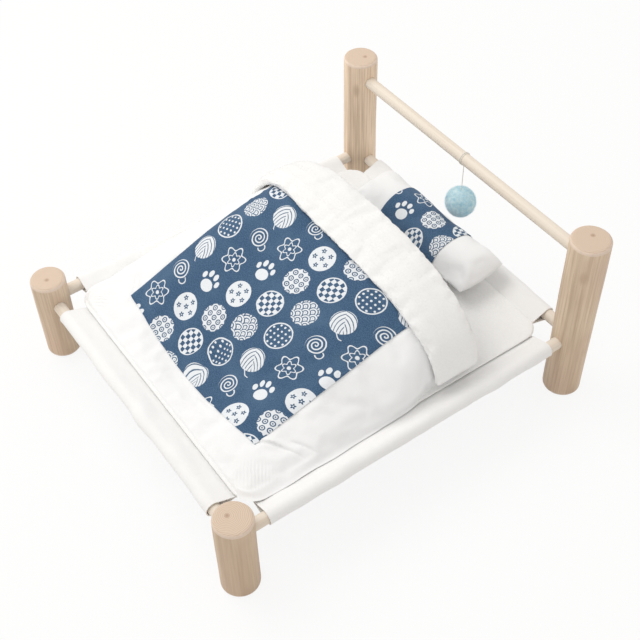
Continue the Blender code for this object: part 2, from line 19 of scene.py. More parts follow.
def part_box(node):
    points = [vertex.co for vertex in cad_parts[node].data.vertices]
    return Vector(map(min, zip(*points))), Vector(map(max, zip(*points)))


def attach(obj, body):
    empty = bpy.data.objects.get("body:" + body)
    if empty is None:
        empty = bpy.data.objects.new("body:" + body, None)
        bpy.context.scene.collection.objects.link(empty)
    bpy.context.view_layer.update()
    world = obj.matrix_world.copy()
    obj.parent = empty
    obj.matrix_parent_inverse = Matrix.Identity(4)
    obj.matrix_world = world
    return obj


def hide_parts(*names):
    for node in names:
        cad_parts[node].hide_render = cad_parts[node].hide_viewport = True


UP = Vector((0, 0, 1))

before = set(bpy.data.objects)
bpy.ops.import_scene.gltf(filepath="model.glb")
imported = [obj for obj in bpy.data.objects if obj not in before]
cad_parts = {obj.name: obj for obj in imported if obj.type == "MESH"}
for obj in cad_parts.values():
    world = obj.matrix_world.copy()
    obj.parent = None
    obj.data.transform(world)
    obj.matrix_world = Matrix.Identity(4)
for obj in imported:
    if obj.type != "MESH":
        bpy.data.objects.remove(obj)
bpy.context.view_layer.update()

# %% [markdown]
# ## Camera
# A product photo is taken with a longish lens from above one corner. The camera is set by what a
# photographer would say: how far round the bed it stands, how high, how far away, and how long the lens is.

# %% Camera
AZIMUTH = math.radians(55.82)
ELEVATION = math.radians(47.71)
CAMERA_ROLL = math.radians(-1.44)
CAMERA_DISTANCE = 1.3975
CAMERA_TARGET = Vector((0.0235, 0.0038, 0.100))
LENS = 65.3


def linked(name, data):
    """A new object with its data, linked to the scene."""
    obj = bpy.data.objects.new(name, data)
    bpy.context.collection.objects.link(obj)
    return obj


level = math.cos(ELEVATION)
backward = Vector((math.sin(AZIMUTH) * level, -math.cos(AZIMUTH) * level, math.sin(ELEVATION)))
level_right = (-backward).cross(UP).normalized()
level_up = level_right.cross(-backward)
turn = Matrix((level_right, level_up, backward)).transposed() @ Matrix.Rotation(CAMERA_ROLL, 3, "Z")
camera = linked("camera", bpy.data.cameras.new("camera"))
camera.data.lens = LENS
camera.matrix_world = Matrix.LocRotScale(CAMERA_TARGET + backward * CAMERA_DISTANCE, turn, None)
scene = bpy.context.scene
scene.camera = camera
print("camera at", [round(v, 3) for v in camera.matrix_world.translation])

# %% [markdown]
# ## Shader arithmetic
# A procedural finish is mostly arithmetic on coordinates. One small class wraps a node's output, so that
# a mask can be written as 1 - a * b. A second one adds any node with its inputs and settings, and a third
# one makes a material of such nodes.

# %% Wires, nodes and finishes


class Wire:
    """A node's output that can stand in a Python expression."""

    def __init__(self, nodes, socket):
        self.nodes = nodes
        self.socket = socket

    def maths(self, operation, *others):
        return self.nodes.maths(operation, self, *others)

    __add__ = partialmethod(maths, "ADD")
    __sub__ = partialmethod(maths, "SUBTRACT")
    __mul__ = partialmethod(maths, "MULTIPLY")
    __truediv__ = partialmethod(maths, "DIVIDE")
    __gt__ = partialmethod(maths, "GREATER_THAN")
    __lt__ = partialmethod(maths, "LESS_THAN")

    def __rsub__(self, other):
        return self.nodes.maths("SUBTRACT", other, self)

    def between(self, low, high):
        """0 below low, 1 above high, and a smooth step between."""
        sockets = {"Value": self, "From Min": low, "From Max": high}
        return self.nodes.node("MapRange", sockets, interpolation_type="SMOOTHSTEP")

    def wave(self):
        """A sine of the value in turns, moved to 0 to 1."""
        return (self * math.tau).maths("SINE") * 0.5 + 0.5


class Nodes:
    """A node tree with short ways to add to it."""

    def __init__(self, tree):
        self.tree = tree

    def node(self, kind, sockets=None, out=0, **settings):
        made = self.tree.nodes.new("ShaderNode" + kind)
        for key, value in settings.items():
            setattr(made, key, value)
        for key, value in (sockets or {}).items():
            self.put(made.inputs[key], value)
        return Wire(self, made.outputs[out])

    def put(self, socket, value):
        if isinstance(value, Wire):
            self.tree.links.new(value.socket, socket)
        elif socket.type == "RGBA":
            socket.default_value = (*value, 1.0)
        else:
            socket.default_value = value

    def maths(self, operation, *values):
        return self.node("Math", dict(enumerate(values)), operation=operation)

    def show(self, output, shaded, glowing, share):
        """Shows a shader, and for camera, mirror and see-through rays a share of a glowing one."""
        rays = self.node("LightPath").socket.node.outputs
        direct = Wire(self, rays["Is Camera Ray"])
        for kind in ("Is Glossy Ray", "Is Transmission Ray"):
            direct = direct.maths("MAXIMUM", Wire(self, rays[kind]))
        both = self.node("MixShader", {0: direct * share, 1: shaded, 2: glowing})
        self.put(self.tree.nodes[output].inputs["Surface"], both)


class Finish(Nodes):
    """A material with one Principled shader, and textures in metres for it."""

    def __init__(self, name, roughness, **fixed):
        self.material = bpy.data.materials.new(name)
        self.material.use_nodes = True
        super().__init__(self.material.node_tree)
        self.shader = self.tree.nodes["Principled BSDF"].inputs
        self.put(self.shader["Roughness"], roughness)
        for socket, value in fixed.items():
            self.put(self.shader[socket.replace("_", " ")], value)

    def mix(self, factor, first, second):
        """A colour between two, by a factor from 0 to 1."""
        return self.node("Mix", {0: factor, 6: first, 7: second}, out=2, data_type="RGBA")

    def place(self, centre=(0.0, 0.0, 0.0)):
        """Object coordinates in metres, counted from a centre."""
        coordinates = self.node("TexCoord", out=3)
        return self.node("Mapping", {"Vector": coordinates, "Location": tuple(-v for v in centre)})

    def split(self, vector):
        return [Wire(self, output) for output in self.node("SeparateXYZ", {0: vector}).socket.node.outputs]

    def stretched(self, vector, scales):
        """The vector times three numbers, to draw a pattern out along one direction."""
        return self.node("VectorMath", {0: vector, 1: scales}, operation="MULTIPLY")

    def noise(self, vector, scale, detail=2.0, roughness=0.5):
        """Smooth noise. scale is one number, or three for a grain that is drawn out."""
        if isinstance(scale, tuple):
            vector = self.stretched(vector, scale)
            scale = 1.0
        sockets = {"Vector": vector, "Scale": scale, "Detail": detail, "Roughness": roughness}
        return self.node("TexNoise", sockets)

    def uv(self):
        return self.node("UVMap", uv_map="cloth")

    def colour(self, value):
        self.put(self.shader["Base Color"], value)

    def bump(self, height, depth, strength):
        """Raises the surface by up to depth metres where height is 1."""
        made = self.node("Bump", {"Height": height, "Distance": depth, "Strength": strength})
        self.put(self.shader["Normal"], made)


def darker(colour, share):
    return tuple(share * c for c in colour)


print("shader helpers ready")

# %% [markdown]
# ## Mesh helpers
# Every new piece is shaped in a bmesh and then becomes one object at the origin, with its place in its
# mesh. Turned pieces are an outline spun round an axis.

# %% Mesh helpers
CAP_SHARES = (0.0, 0.35, 0.7)
MERGE = 1e-6


def mesh_of(name, shape):
    """Turns a bmesh into a mesh and frees it."""
    mesh = bpy.data.meshes.new(name)
    shape.to_mesh(mesh)
    shape.free()
    return mesh


def dressed(name, mesh, finish, body, *nodes, slot=None, smooth=50.0):
    """Makes an object of a mesh, gives it its finish, and puts it on its body in place of CAD nodes."""
    obj = linked(name, mesh)
    mesh.materials.clear()
    mesh.materials.append(finish.material)
    mesh.shade_smooth()
    mesh.set_sharp_from_angle(angle=math.radians(smooth))
    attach(obj, body)
    if nodes:
        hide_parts(*nodes)
    return obj


def piece(name, shape, *rest, **more):
    return dressed(name, mesh_of(name, shape), *rest, **more)


def evaluated(obj):
    """The mesh of an object with its modifiers applied. The object is removed."""
    graph = bpy.context.evaluated_depsgraph_get()
    graph.update()
    mesh = bpy.data.meshes.new_from_object(obj.evaluated_get(graph))
    old = obj.data
    bpy.data.objects.remove(obj)
    bpy.data.meshes.remove(old)
    return mesh


def remade(shape, levels=0, thickness=0.0, offset=0.0):
    """The mesh of a bmesh that is made finer by some levels and is given a thickness."""
    obj = linked("remade", mesh_of("remade", shape))
    if levels:
        finer = obj.modifiers.new("finer", "SUBSURF")
        finer.levels = finer.render_levels = levels
        finer.boundary_smooth = "PRESERVE_CORNERS"
    if thickness:
        solid = obj.modifiers.new("solid", "SOLIDIFY")
        solid.thickness = thickness
        solid.offset = offset
    return evaluated(obj)


def spun(outline, steps):
    """A closed turned shape: an outline of (radius, height) that starts and ends on Z, spun about Z."""
    shape = bmesh.new()
    corners = [shape.verts.new((radius, 0.0, height)) for radius, height in outline]
    edges = [shape.edges.new(pair) for pair in zip(corners, corners[1:])]
    turned = {"cent": (0, 0, 0), "axis": UP, "angle": math.tau, "steps": steps, "use_merge": True}
    bmesh.ops.spin(shape, geom=corners + edges, **turned)
    bmesh.ops.remove_doubles(shape, verts=shape.verts, dist=MERGE)
    bmesh.ops.recalc_face_normals(shape, faces=shape.faces)
    return shape


def rod_outline(radius, length, edge, rings):
    """The outline of a round bar with rounded rims, cut into rings along its length."""
    corner = [(edge * math.sin(t), edge * (1 - math.cos(t))) for t in np.linspace(0, math.pi / 2, 6)]
    low = [(radius - edge + out, up) for out, up in corner]
    high = [(out, length - up) for out, up in reversed(low)]
    sides = [(radius, h) for h in np.linspace(edge, length - edge, rings + 2)[1:-1]]
    caps = [share * (radius - edge) for share in CAP_SHARES]
    return [(c, 0.0) for c in caps] + low + sides + high + [(c, length) for c in reversed(caps)]


def smoothstep(value, low, high):
    share = min(1.0, max(0.0, (value - low) / (high - low)))
    return share * share * (3 - 2 * share)


def signed_power(value, power):
    return math.copysign(abs(value) ** power, value)


def ripple(x, y, scale, seed):
    """Smooth noise from -1 to 1 over the bed's plan."""
    return noise.noise(Vector((x * scale, y * scale, seed)))


def run_along(points):
    """How far along a line of points each one lies."""
    return np.concatenate([[0.0], np.cumsum([(b - a).length for a, b in zip(points, points[1:])])])


print("mesh helpers ready")

# %% [markdown]
# ## Background and light
# The bed stands on a seamless white sweep under one broad soft box, high and to the left, with the white
# room giving the rest. The floor glows white for the camera alone, so it stays white without lighting the
# bed, and it keeps about a seventh of its own shading, which is all that is seen of the shadow.

# %% Floor and light
KEY_POWER = 21.3
KEY_PLACE = Vector((-1.00, -0.55, 1.95))
KEY_SIZE = 1.5
LAMP_WHITE = (1.0, 0.985, 0.965)
ROOM_LIGHT = 0.76
FLOOR_SIZE = 6.0
FLOOR_SHADING = 0.14
FLOOR_COLOUR = (0.90, 0.89, 0.88)

scene.view_settings.view_transform = "Standard"
room = bpy.data.worlds.new("white_room")
room.use_nodes = True
scene.world = room
sky = Nodes(room.node_tree)
dim = sky.node("Background", {"Color": LAMP_WHITE, "Strength": ROOM_LIGHT})
sky.show("World Output", dim, sky.node("Background", {"Color": (1.0, 1.0, 1.0)}), 1.0)

floor_shape = bmesh.new()
bmesh.ops.create_grid(floor_shape, x_segments=1, y_segments=1, size=FLOOR_SIZE / 2)
floor = linked("floor", mesh_of("floor", floor_shape))
paint = bpy.data.materials.new("floor_paint")
paint.use_nodes = True
ground = Nodes(paint.node_tree)
matt = ground.node("BsdfDiffuse", {"Color": FLOOR_COLOUR})
ground.show("Material Output", matt, ground.node("Emission"), 1 - FLOOR_SHADING)
floor.data.materials.append(paint)

soft_box = linked("soft_box", bpy.data.lights.new("soft_box", "AREA"))
soft_box.data.energy = KEY_POWER
soft_box.data.size = KEY_SIZE
soft_box.data.color = LAMP_WHITE
aim = (CAMERA_TARGET - KEY_PLACE).to_track_quat("-Z", "Y")
soft_box.matrix_world = Matrix.LocRotScale(KEY_PLACE, aim, None)
print("soft box", KEY_POWER, "W, room", ROOM_LIGHT)

# %% [markdown]
# ## Wood
# The posts are young logs, peeled and sanded: warm and pale, with fine streaks along the grain, a few small
# knots, and rings round a pith that is never quite in the middle of the sawn ends. The dowels are planed
# from paler wood. Both finishes stretch one noise along the grain, because that is how fibres run.

# %% Wood finishes
LOG_PALE = (0.780, 0.625, 0.465)
LOG_PINK = (0.670, 0.495, 0.375)
LOG_DARK = (0.500, 0.365, 0.255)
LOG_WARM = (0.960, 0.760, 0.570)
LOG_END = (0.715, 0.570, 0.450)
RING_DARK = (0.540, 0.385, 0.270)
LOG_RIM_HIGHLIGHT = (0.790, 0.650, 0.545)
PITH = (0.330, 0.190, 0.110)
PITH_CORE = 0.0008
PITH_RADIUS = 0.0042
END_DEPTH = 0.0009
RIM_HIGHLIGHT_DEPTH = 0.0044
RING_WIDTH = 0.0019
RING_WANDER = 1.6
LOG_RELIEF = 0.00035
DOWEL_PALE = (0.820, 0.740, 0.640)
DOWEL_DARK = (0.720, 0.595, 0.470)
DOWEL_RELIEF = 0.00012


def log_finish(name, low, high, pith, tint, amount):
    """Bare log: streaks on the side, rings round the pith on both ends, and a painted highlight at both
    rims.
    """
    finish = Finish(name, 0.62, Specular_IOR_Level=0.35)
    place = finish.place(((low.x + high.x) / 2, (low.y + high.y) / 2, low.z))
    x, y, z = finish.split(place)
    streaks = finish.noise(place, (260, 260, 7), 4.0, 0.6)
    bands = finish.noise(place, (60, 60, 5))
    fibre = finish.noise(place, (1500, 1500, 40))
    grain = finish.noise(place, (560, 560, 9), 3.0, 0.6)
    patches = finish.noise(place, (34, 34, 12))
    side = finish.mix(amount, finish.mix(patches.between(0.40, 0.68) * 0.75, LOG_PALE, LOG_PINK), tint)
    side = finish.mix(streaks.between(0.42, 0.70) * 0.45 + bands.between(0.45, 0.75) * 0.35, side, LOG_DARK)
    side = finish.mix(grain.between(0.46, 0.62) * 0.40, side, LOG_DARK)
    knots = finish.node("TexVoronoi", {"Vector": finish.stretched(place, (22, 22, 11)), "Scale": 1.0})
    side = finish.mix((1 - knots.between(0.03, 0.16)) * 0.7, side, RING_DARK)

    from_pith_x, from_pith_y = x - pith[0], y - pith[1]
    radius = (from_pith_x * from_pith_x + from_pith_y * from_pith_y).maths("SQRT")
    rings = (radius / RING_WIDTH + finish.noise(place, (90, 90, 0)) * RING_WANDER).wave()
    speckle = finish.noise(place, (2200, 2200, 0))
    end = finish.mix(rings.between(0.50, 1.0) * 0.60 + speckle.between(0.5, 0.9) * 0.25, LOG_END, RING_DARK)
    end = finish.mix((1 - radius.between(PITH_CORE, PITH_RADIUS)) * 0.55, end, PITH)
    height = high.z - low.z
    # The lighter band at each rounded rim is a painted highlight, not the wood's own colour.
    at_end, at_rim_highlight = ((z > height - depth) + (z < depth) for depth in (END_DEPTH, RIM_HIGHLIGHT_DEPTH))
    whole = finish.mix(at_rim_highlight.maths("MINIMUM", 1.0) * 0.7, side, LOG_RIM_HIGHLIGHT)
    finish.colour(finish.mix(at_end.maths("MINIMUM", 1.0), whole, end))
    finish.put(finish.shader["Roughness"], streaks * 0.18 + 0.50)
    finish.bump(fibre * 0.5 + streaks * 0.9 - at_end * rings * 0.4, LOG_RELIEF, 0.8)
    return finish


def dowel_finish(name, along):
    """Planed dowel: fine straight lines along it."""
    finish = Finish(name, 0.55, Specular_IOR_Level=0.35)
    place = finish.place()
    lines = finish.noise(place, tuple(6.0 if axis == along else 700.0 for axis in range(3)), 3.0, 0.6)
    bands = finish.noise(place, tuple(2.5 if axis == along else 160.0 for axis in range(3)))
    shade = lines.between(0.45, 0.72) * 0.5 + bands.between(0.4, 0.8) * 0.4
    finish.colour(finish.mix(shade, DOWEL_PALE, DOWEL_DARK))
    finish.bump(lines, DOWEL_RELIEF, 0.6)
    return finish


print("wood finishes ready")

# %% [markdown]
# ## Dowels
# The five rails are one shape at different places. A turned bar is laid along X or Y. A wobble of smooth
# noise keeps it from looking as if it came off a lathe.

# %% Dowels
RAILS = ("side_rail_left", "side_rail_right", "foot_rail", "head_rail", "toy_rail")
DOWEL_EDGE = 0.001
DOWEL_RINGS = 60
DOWEL_WOBBLE = 0.0099
DOWEL_GRAIN = 9.0
TURN_STEPS = 56


def wobble(shape, amount, grain, seed):
    """Moves each vertex in or out from the Z axis, by a share of its radius that follows smooth noise."""
    for vertex in shape.verts:
        radius = vertex.co.xy.length
        if radius > 1e-5:
            round_place = Vector((vertex.co.x / radius, vertex.co.y / radius, vertex.co.z * grain + seed))
            swell = 1 + amount * noise.noise(round_place)
            vertex.co.x *= swell
            vertex.co.y *= swell


def laid_along(start, end):
    """The turn and move that put a bar made along Z between two points."""
    return Matrix.Translation(start) @ (end - start).to_track_quat("Z", "Y").to_matrix().to_4x4()


rails = {}
for seed, name in enumerate(RAILS):
    low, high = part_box(name)
    middle, size = (low + high) / 2, high - low
    along = 0 if size.x > size.y else 1
    reach = Vector((size.x / 2, 0, 0)) if along == 0 else Vector((0, size.y / 2, 0))
    start, end = middle - reach, middle + reach
    bar = spun(rod_outline(size.z / 2, (end - start).length, DOWEL_EDGE, DOWEL_RINGS), TURN_STEPS)
    wobble(bar, DOWEL_WOBBLE, DOWEL_GRAIN, seed * 7.1)
    bmesh.ops.transform(bar, matrix=laid_along(start, end), verts=bar.verts)
    piece("dowel_" + name, bar, dowel_finish("dowel_wood_" + name, along), "frame", name, slot="dowel_wood")
    rails[name] = (start, end, size.z / 2)
print("rails", {name: round((end - start).length, 4) for name, (start, end, _) in rails.items()})

# %% [markdown]
# ## Posts
# Each post is a log with its own taper, wobble and colour. Blind sockets are bored where its rails go in,
# as in the real joint.

# %% Posts
POST_EDGE = 0.0042
POST_RINGS = 44
POST_STEPS = 84
POST_WOBBLE = 0.018
POST_GRAIN = 14.0
SOCKET_SLACK = 0.0003
SOCKET_CLEARANCE = 0.0008
BORER_LENGTH = 0.05
BORER_EDGE = 0.0002
NEAR_POST = 0.03
LOOKS = ("foot", "top", "pith", "tint", "amount")
LOGS = {
    "foot_post_left": (0.0216, 0.0218, (0.003, -0.002), LOG_DARK, 0.10),
    "foot_post_right": (0.0225, 0.0226, (-0.006, -0.003), LOG_DARK, 0.46),
    "head_post_left": (0.0222, 0.0220, (0.004, 0.004), LOG_WARM, 0.90),
    "head_post_right": (0.0230, 0.0238, (-0.003, 0.005), LOG_WARM, 0.0),
}


def post_log(name, seed, foot, top, pith, tint, amount):
    """A log with a radius at its foot and at its top, a pith off its middle, and a tint by some amount."""
    low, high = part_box(name)
    height = high.z - low.z
    centre = (low + high) / 2
    log = spun(rod_outline(1.0, height, POST_EDGE, POST_RINGS), POST_STEPS)
    for vertex in log.verts:
        size = foot + (top - foot) * (vertex.co.z / height)
        away = vertex.co.xy.length
        inside = 1.0 - away
        scale = (size - inside if inside < 2 * POST_EDGE else size * away) / max(away, 1e-9)
        vertex.co.x *= scale
        vertex.co.y *= scale
    wobble(log, POST_WOBBLE, POST_GRAIN, seed * 5.3)
    bmesh.ops.translate(log, vec=(centre.x, centre.y, low.z), verts=log.verts)
    blank = linked("blank", mesh_of("blank", log))
    borers = []
    for start, end, radius in rails.values():
        for near, far in ((start, end), (end, start)):
            if abs(near.z - centre.z) < height / 2 and (near - centre).xy.length < NEAR_POST:
                borer = spun(rod_outline(radius + SOCKET_SLACK, BORER_LENGTH, BORER_EDGE, 2), TURN_STEPS)
                bottom = near - (far - near).normalized() * SOCKET_CLEARANCE
                bmesh.ops.transform(borer, matrix=laid_along(bottom, far), verts=borer.verts)
                borers.append(linked("borer", mesh_of("borer", borer)))
                cut = blank.modifiers.new("cut", "BOOLEAN")
                cut.operation = "DIFFERENCE"
                cut.object = borers[-1]
                cut.solver = "EXACT"
    mesh = evaluated(blank)
    for borer in borers:
        bpy.data.objects.remove(borer)
    finish = log_finish("bark_free_" + name, low, high, pith, tint, amount)
    return dressed("log_" + name, mesh, finish, "frame", name, slot="post_wood")


for seed, (name, looks) in enumerate(LOGS.items()):
    made = post_log(name, seed + 1, **dict(zip(LOOKS, looks)))
    print(made.name, len(made.data.polygons), "faces")

# %% [markdown]
# ## Heights of the soft layers
# The sling is a tray that sags between the rails. The pad lies in it, and the quilt arches from the pad's
# edges to a crest at its mouth. Its filling stands fuller on the left, and its right side is pulled taut.
# Each layer's height is a function of the place on the bed, so a layer can always be laid at an exact
# distance above the one below it.

# %% Layer heights
HALF_X = 0.212
HALF_Y = 0.238
RAIL_HEIGHT = 0.090
SLEEVE_SEAM = 0.025
SEAM_X = HALF_X - SLEEVE_SEAM
SEAM_Y = HALF_Y - SLEEVE_SEAM
SLING_SAG = 0.014
TRAY_SQUARENESS = 6
PAD_LIFT = 0.0012
PAD_HALF_X = 0.186
PAD_HALF_Y = 0.210
PAD_CORNER = 0.022
PAD_EDGE = 0.0042
PAD_MIDDLE = 0.0094
QUILT_HALF_X = 0.187
QUILT_FOOT_Y = -0.207
QUILT_MOUTH_Y = 0.104
QUILT_CREST_Y = 0.060
QUILT_CORNER = 0.020
QUILT_RISE = 0.102
QUILT_RISE_POWER = 1.1
QUILT_NARROWING = 0.010
QUILT_GAP = 0.0012
ARCH_POWER_FOOT = 0.5
ARCH_POWER_GAIN = 0.3
PATCH_HALF_WIDTH = 0.137
SIDE_TAUTNESS = 0.85
TAUT_UP_TO_Y = -0.060
SLACK_FROM_Y = 0.045
PUFF_HEIGHT = 0.014
PUFF_MIDDLE = Vector((-0.114, -0.020))
PUFF_REACH = Vector((0.048, 0.110))
PUFF_HELD = 0.035
DIP_DEPTH = 0.012
DIP_HALF_WIDTH = 0.120
DIP_LOWEST_Y = -0.165
DIP_END_Y = -0.060
NUDGE = 1e-3


def tray(x, y, half_x, half_y):
    across, along = (max(0.0, 1 - abs(v) ** TRAY_SQUARENESS) for v in (x / half_x, y / half_y))
    return across * along


def sling_height(x, y):
    """Middle of the sling's cloth."""
    return RAIL_HEIGHT - SLING_SAG * tray(x, y, SEAM_X, SEAM_Y)


def pad_top(x, y):
    crown = tray(x, y, PAD_HALF_X, PAD_HALF_Y)
    return sling_height(x, y) + PAD_LIFT + PAD_EDGE + (PAD_MIDDLE - PAD_EDGE) * crown


def quilt_half_width(y):
    half = QUILT_HALF_X - QUILT_NARROWING * smoothstep(y, 0.0, QUILT_CREST_Y)
    into_corner = QUILT_FOOT_Y + QUILT_CORNER - y
    if into_corner > 0:
        half -= QUILT_CORNER - math.sqrt(max(0.0, QUILT_CORNER**2 - into_corner**2))
    return half


def quilt_rise(y):
    share = min(1.0, max(0.0, (y - QUILT_FOOT_Y) / (QUILT_CREST_Y - QUILT_FOOT_Y)))
    return QUILT_RISE * share**QUILT_RISE_POWER


def arch_power(y):
    return ARCH_POWER_FOOT + ARCH_POWER_GAIN * smoothstep(y, QUILT_FOOT_Y, QUILT_CREST_Y)


def taut_rise(x, y, rise):
    """Pulls the arch straight between the patch's edge and the right hem."""
    beyond_patch = x - PATCH_HALF_WIDTH
    if beyond_patch <= 0:
        return rise
    half = quilt_half_width(y)
    power = arch_power(y)
    shoulder = quilt_rise(y) * (1 - (PATCH_HALF_WIDTH / half) ** (2 / power)) ** (power / 2)
    straight = shoulder * (1 - beyond_patch / (half - PATCH_HALF_WIDTH))
    return rise + (straight - rise) * SIDE_TAUTNESS * (1 - smoothstep(y, TAUT_UP_TO_Y, SLACK_FROM_Y))


def puff(x, y):
    """The filling stands higher on the left, where nothing pulls the quilt flat."""
    across = (x - PUFF_MIDDLE.x) / PUFF_REACH.x
    along = (y - PUFF_MIDDLE.y) / PUFF_REACH.y
    held = smoothstep(quilt_half_width(y) - abs(x), 0.0, PUFF_HELD)
    return PUFF_HEIGHT * held * math.exp(-across * across - along * along)


def quilt_inside(angle, y):
    """The quilt's underside: angle 0 is its right hem, and pi its left hem."""
    power = arch_power(y)
    x = quilt_half_width(y) * signed_power(math.cos(angle), power)
    rise = taut_rise(x, y, quilt_rise(y) * signed_power(math.sin(angle), power))
    across = max(0.0, 1 - (x / DIP_HALF_WIDTH) ** 2) ** 2
    along = smoothstep(y, QUILT_FOOT_Y, DIP_LOWEST_Y) * (1 - smoothstep(y, DIP_LOWEST_Y, DIP_END_Y))
    return Vector((x, y, pad_top(x, y) + QUILT_GAP + rise + puff(x, y) - DIP_DEPTH * across * along))


def quilt_at(angle, y, distance):
    """A point at a distance outward from the quilt's underside."""
    low, high = max(0.0, angle - NUDGE), min(math.pi, angle + NUDGE)
    across = quilt_inside(low, y) - quilt_inside(high, y)
    along = quilt_inside(angle, y + NUDGE) - quilt_inside(angle, y - NUDGE)
    return quilt_inside(angle, y) + across.cross(along).normalized() * distance


crest = quilt_at(math.pi / 2, QUILT_CREST_Y, 0.006)
print("sling lowest", round(sling_height(0, 0), 4), "quilt crest", round(crest.z, 4))

# %% [markdown]
# ## Cloth
# Plain cotton, plush and thread. Weave is too fine to model, so it is a pair of crossed waves in the bump,
# with slubs from a stretched noise. Cloth takes a little sheen from its loose fibres.

# %% Cloth finishes
CANVAS_WHITE = (0.900, 0.898, 0.892)
COTTON_WHITE = (0.900, 0.905, 0.908)
PLUSH_WHITE = (0.910, 0.910, 0.902)
THREAD_WHITE = (0.84, 0.84, 0.82)
WEAVE_PITCH = 0.0009
CANVAS_PITCH = 0.0011


def weave(u, v, pitch):
    return (u / pitch).wave().maths("MAXIMUM", (v / pitch).wave())


def cotton(name, colour, pitch, depth):
    finish = Finish(name, 0.88, Specular_IOR_Level=0.15, Sheen_Weight=0.12, Sheen_Roughness=0.5)
    cloth = finish.uv()
    u, v, _ = finish.split(cloth)
    slubs = finish.noise(cloth, (90, 900, 0))
    mottle = finish.noise(cloth, 45.0, 3.0)
    creped = finish.noise(cloth, 330.0, 3.0, 0.6)
    finish.colour(finish.mix(mottle.between(0.35, 0.75) * 0.10, colour, darker(colour, 0.86)))
    finish.bump(weave(u, v, pitch) * 0.5 + slubs * 0.5 + creped * 2.2, depth, 0.6)
    return finish


def plush(name, colour):
    finish = Finish(name, 0.95, Specular_IOR_Level=0.08, Sheen_Weight=0.35, Sheen_Roughness=0.6)
    place = finish.place()
    tufts = finish.noise(place, 420.0, 3.0, 0.6)
    clumps = finish.noise(place, 130.0)
    finish.colour(finish.mix(tufts.between(0.35, 0.65) * 0.12, colour, darker(colour, 0.80)))
    finish.bump(tufts * 0.7 + clumps * 0.6, 0.0008, 0.7)
    return finish


canvas = cotton("canvas", CANVAS_WHITE, CANVAS_PITCH, 0.00014)
white_cotton = cotton("white_cotton", COTTON_WHITE, WEAVE_PITCH, 0.00013)
white_plush = plush("white_plush", PLUSH_WHITE)
white_thread = Finish("white_thread", 0.7, Base_Color=THREAD_WHITE, Specular_IOR_Level=0.2)
print("cloth finishes ready")

# %% [markdown]
# ## Print
# The patch and the pillow's band have a white print on denim blue: round and line motifs about 34 mm across
# in a half-drop layout. The cloth coordinate in metres is cut into cells, each cell picks one of nine
# motifs by a rule that never puts two of a kind side by side, and each motif is a mask made of distances.

# %% Print finish
CELL_WIDE = 0.0410
CELL_HIGH = 0.0400
GRID_SHIFT = (60.2, 60.3)
TILT_LARGEST = 0.45
INK_WANDER = 0.8
SOFT_EDGE = 0.30
DENIM_PALE = (0.088, 0.162, 0.270)
DENIM_DARK = (0.034, 0.076, 0.150)
DENIM_FADED = (0.120, 0.205, 0.310)
INK_WHITE = (0.800, 0.830, 0.860)


def reach(x, y):
    return (x * x + y * y).maths("SQRT")


def within(distance, limit):
    return 1 - (distance - limit).between(-SOFT_EDGE, SOFT_EDGE)


def line(distance, width):
    return within(distance.maths("ABSOLUTE"), width / 2)


def either(*masks):
    total = masks[0]
    for mask in masks[1:]:
        total = total.maths("MAXIMUM", mask)
    return total


def repeat(value, pitch):
    """The value's place in its own repeat, from -pitch / 2 to pitch / 2."""
    return ((value / pitch + 50.5).maths("FRACT") - 0.5) * pitch


def cell_of(value, size):
    """The number of the cell that a value is in. 40 cells are added to keep it above 0."""
    return (value / size + 40.0).maths("FLOOR")


def turned_by(x, y, angle):
    cosine, sine = angle.maths("COSINE"), angle.maths("SINE")
    return x * cosine - y * sine, x * sine + y * cosine


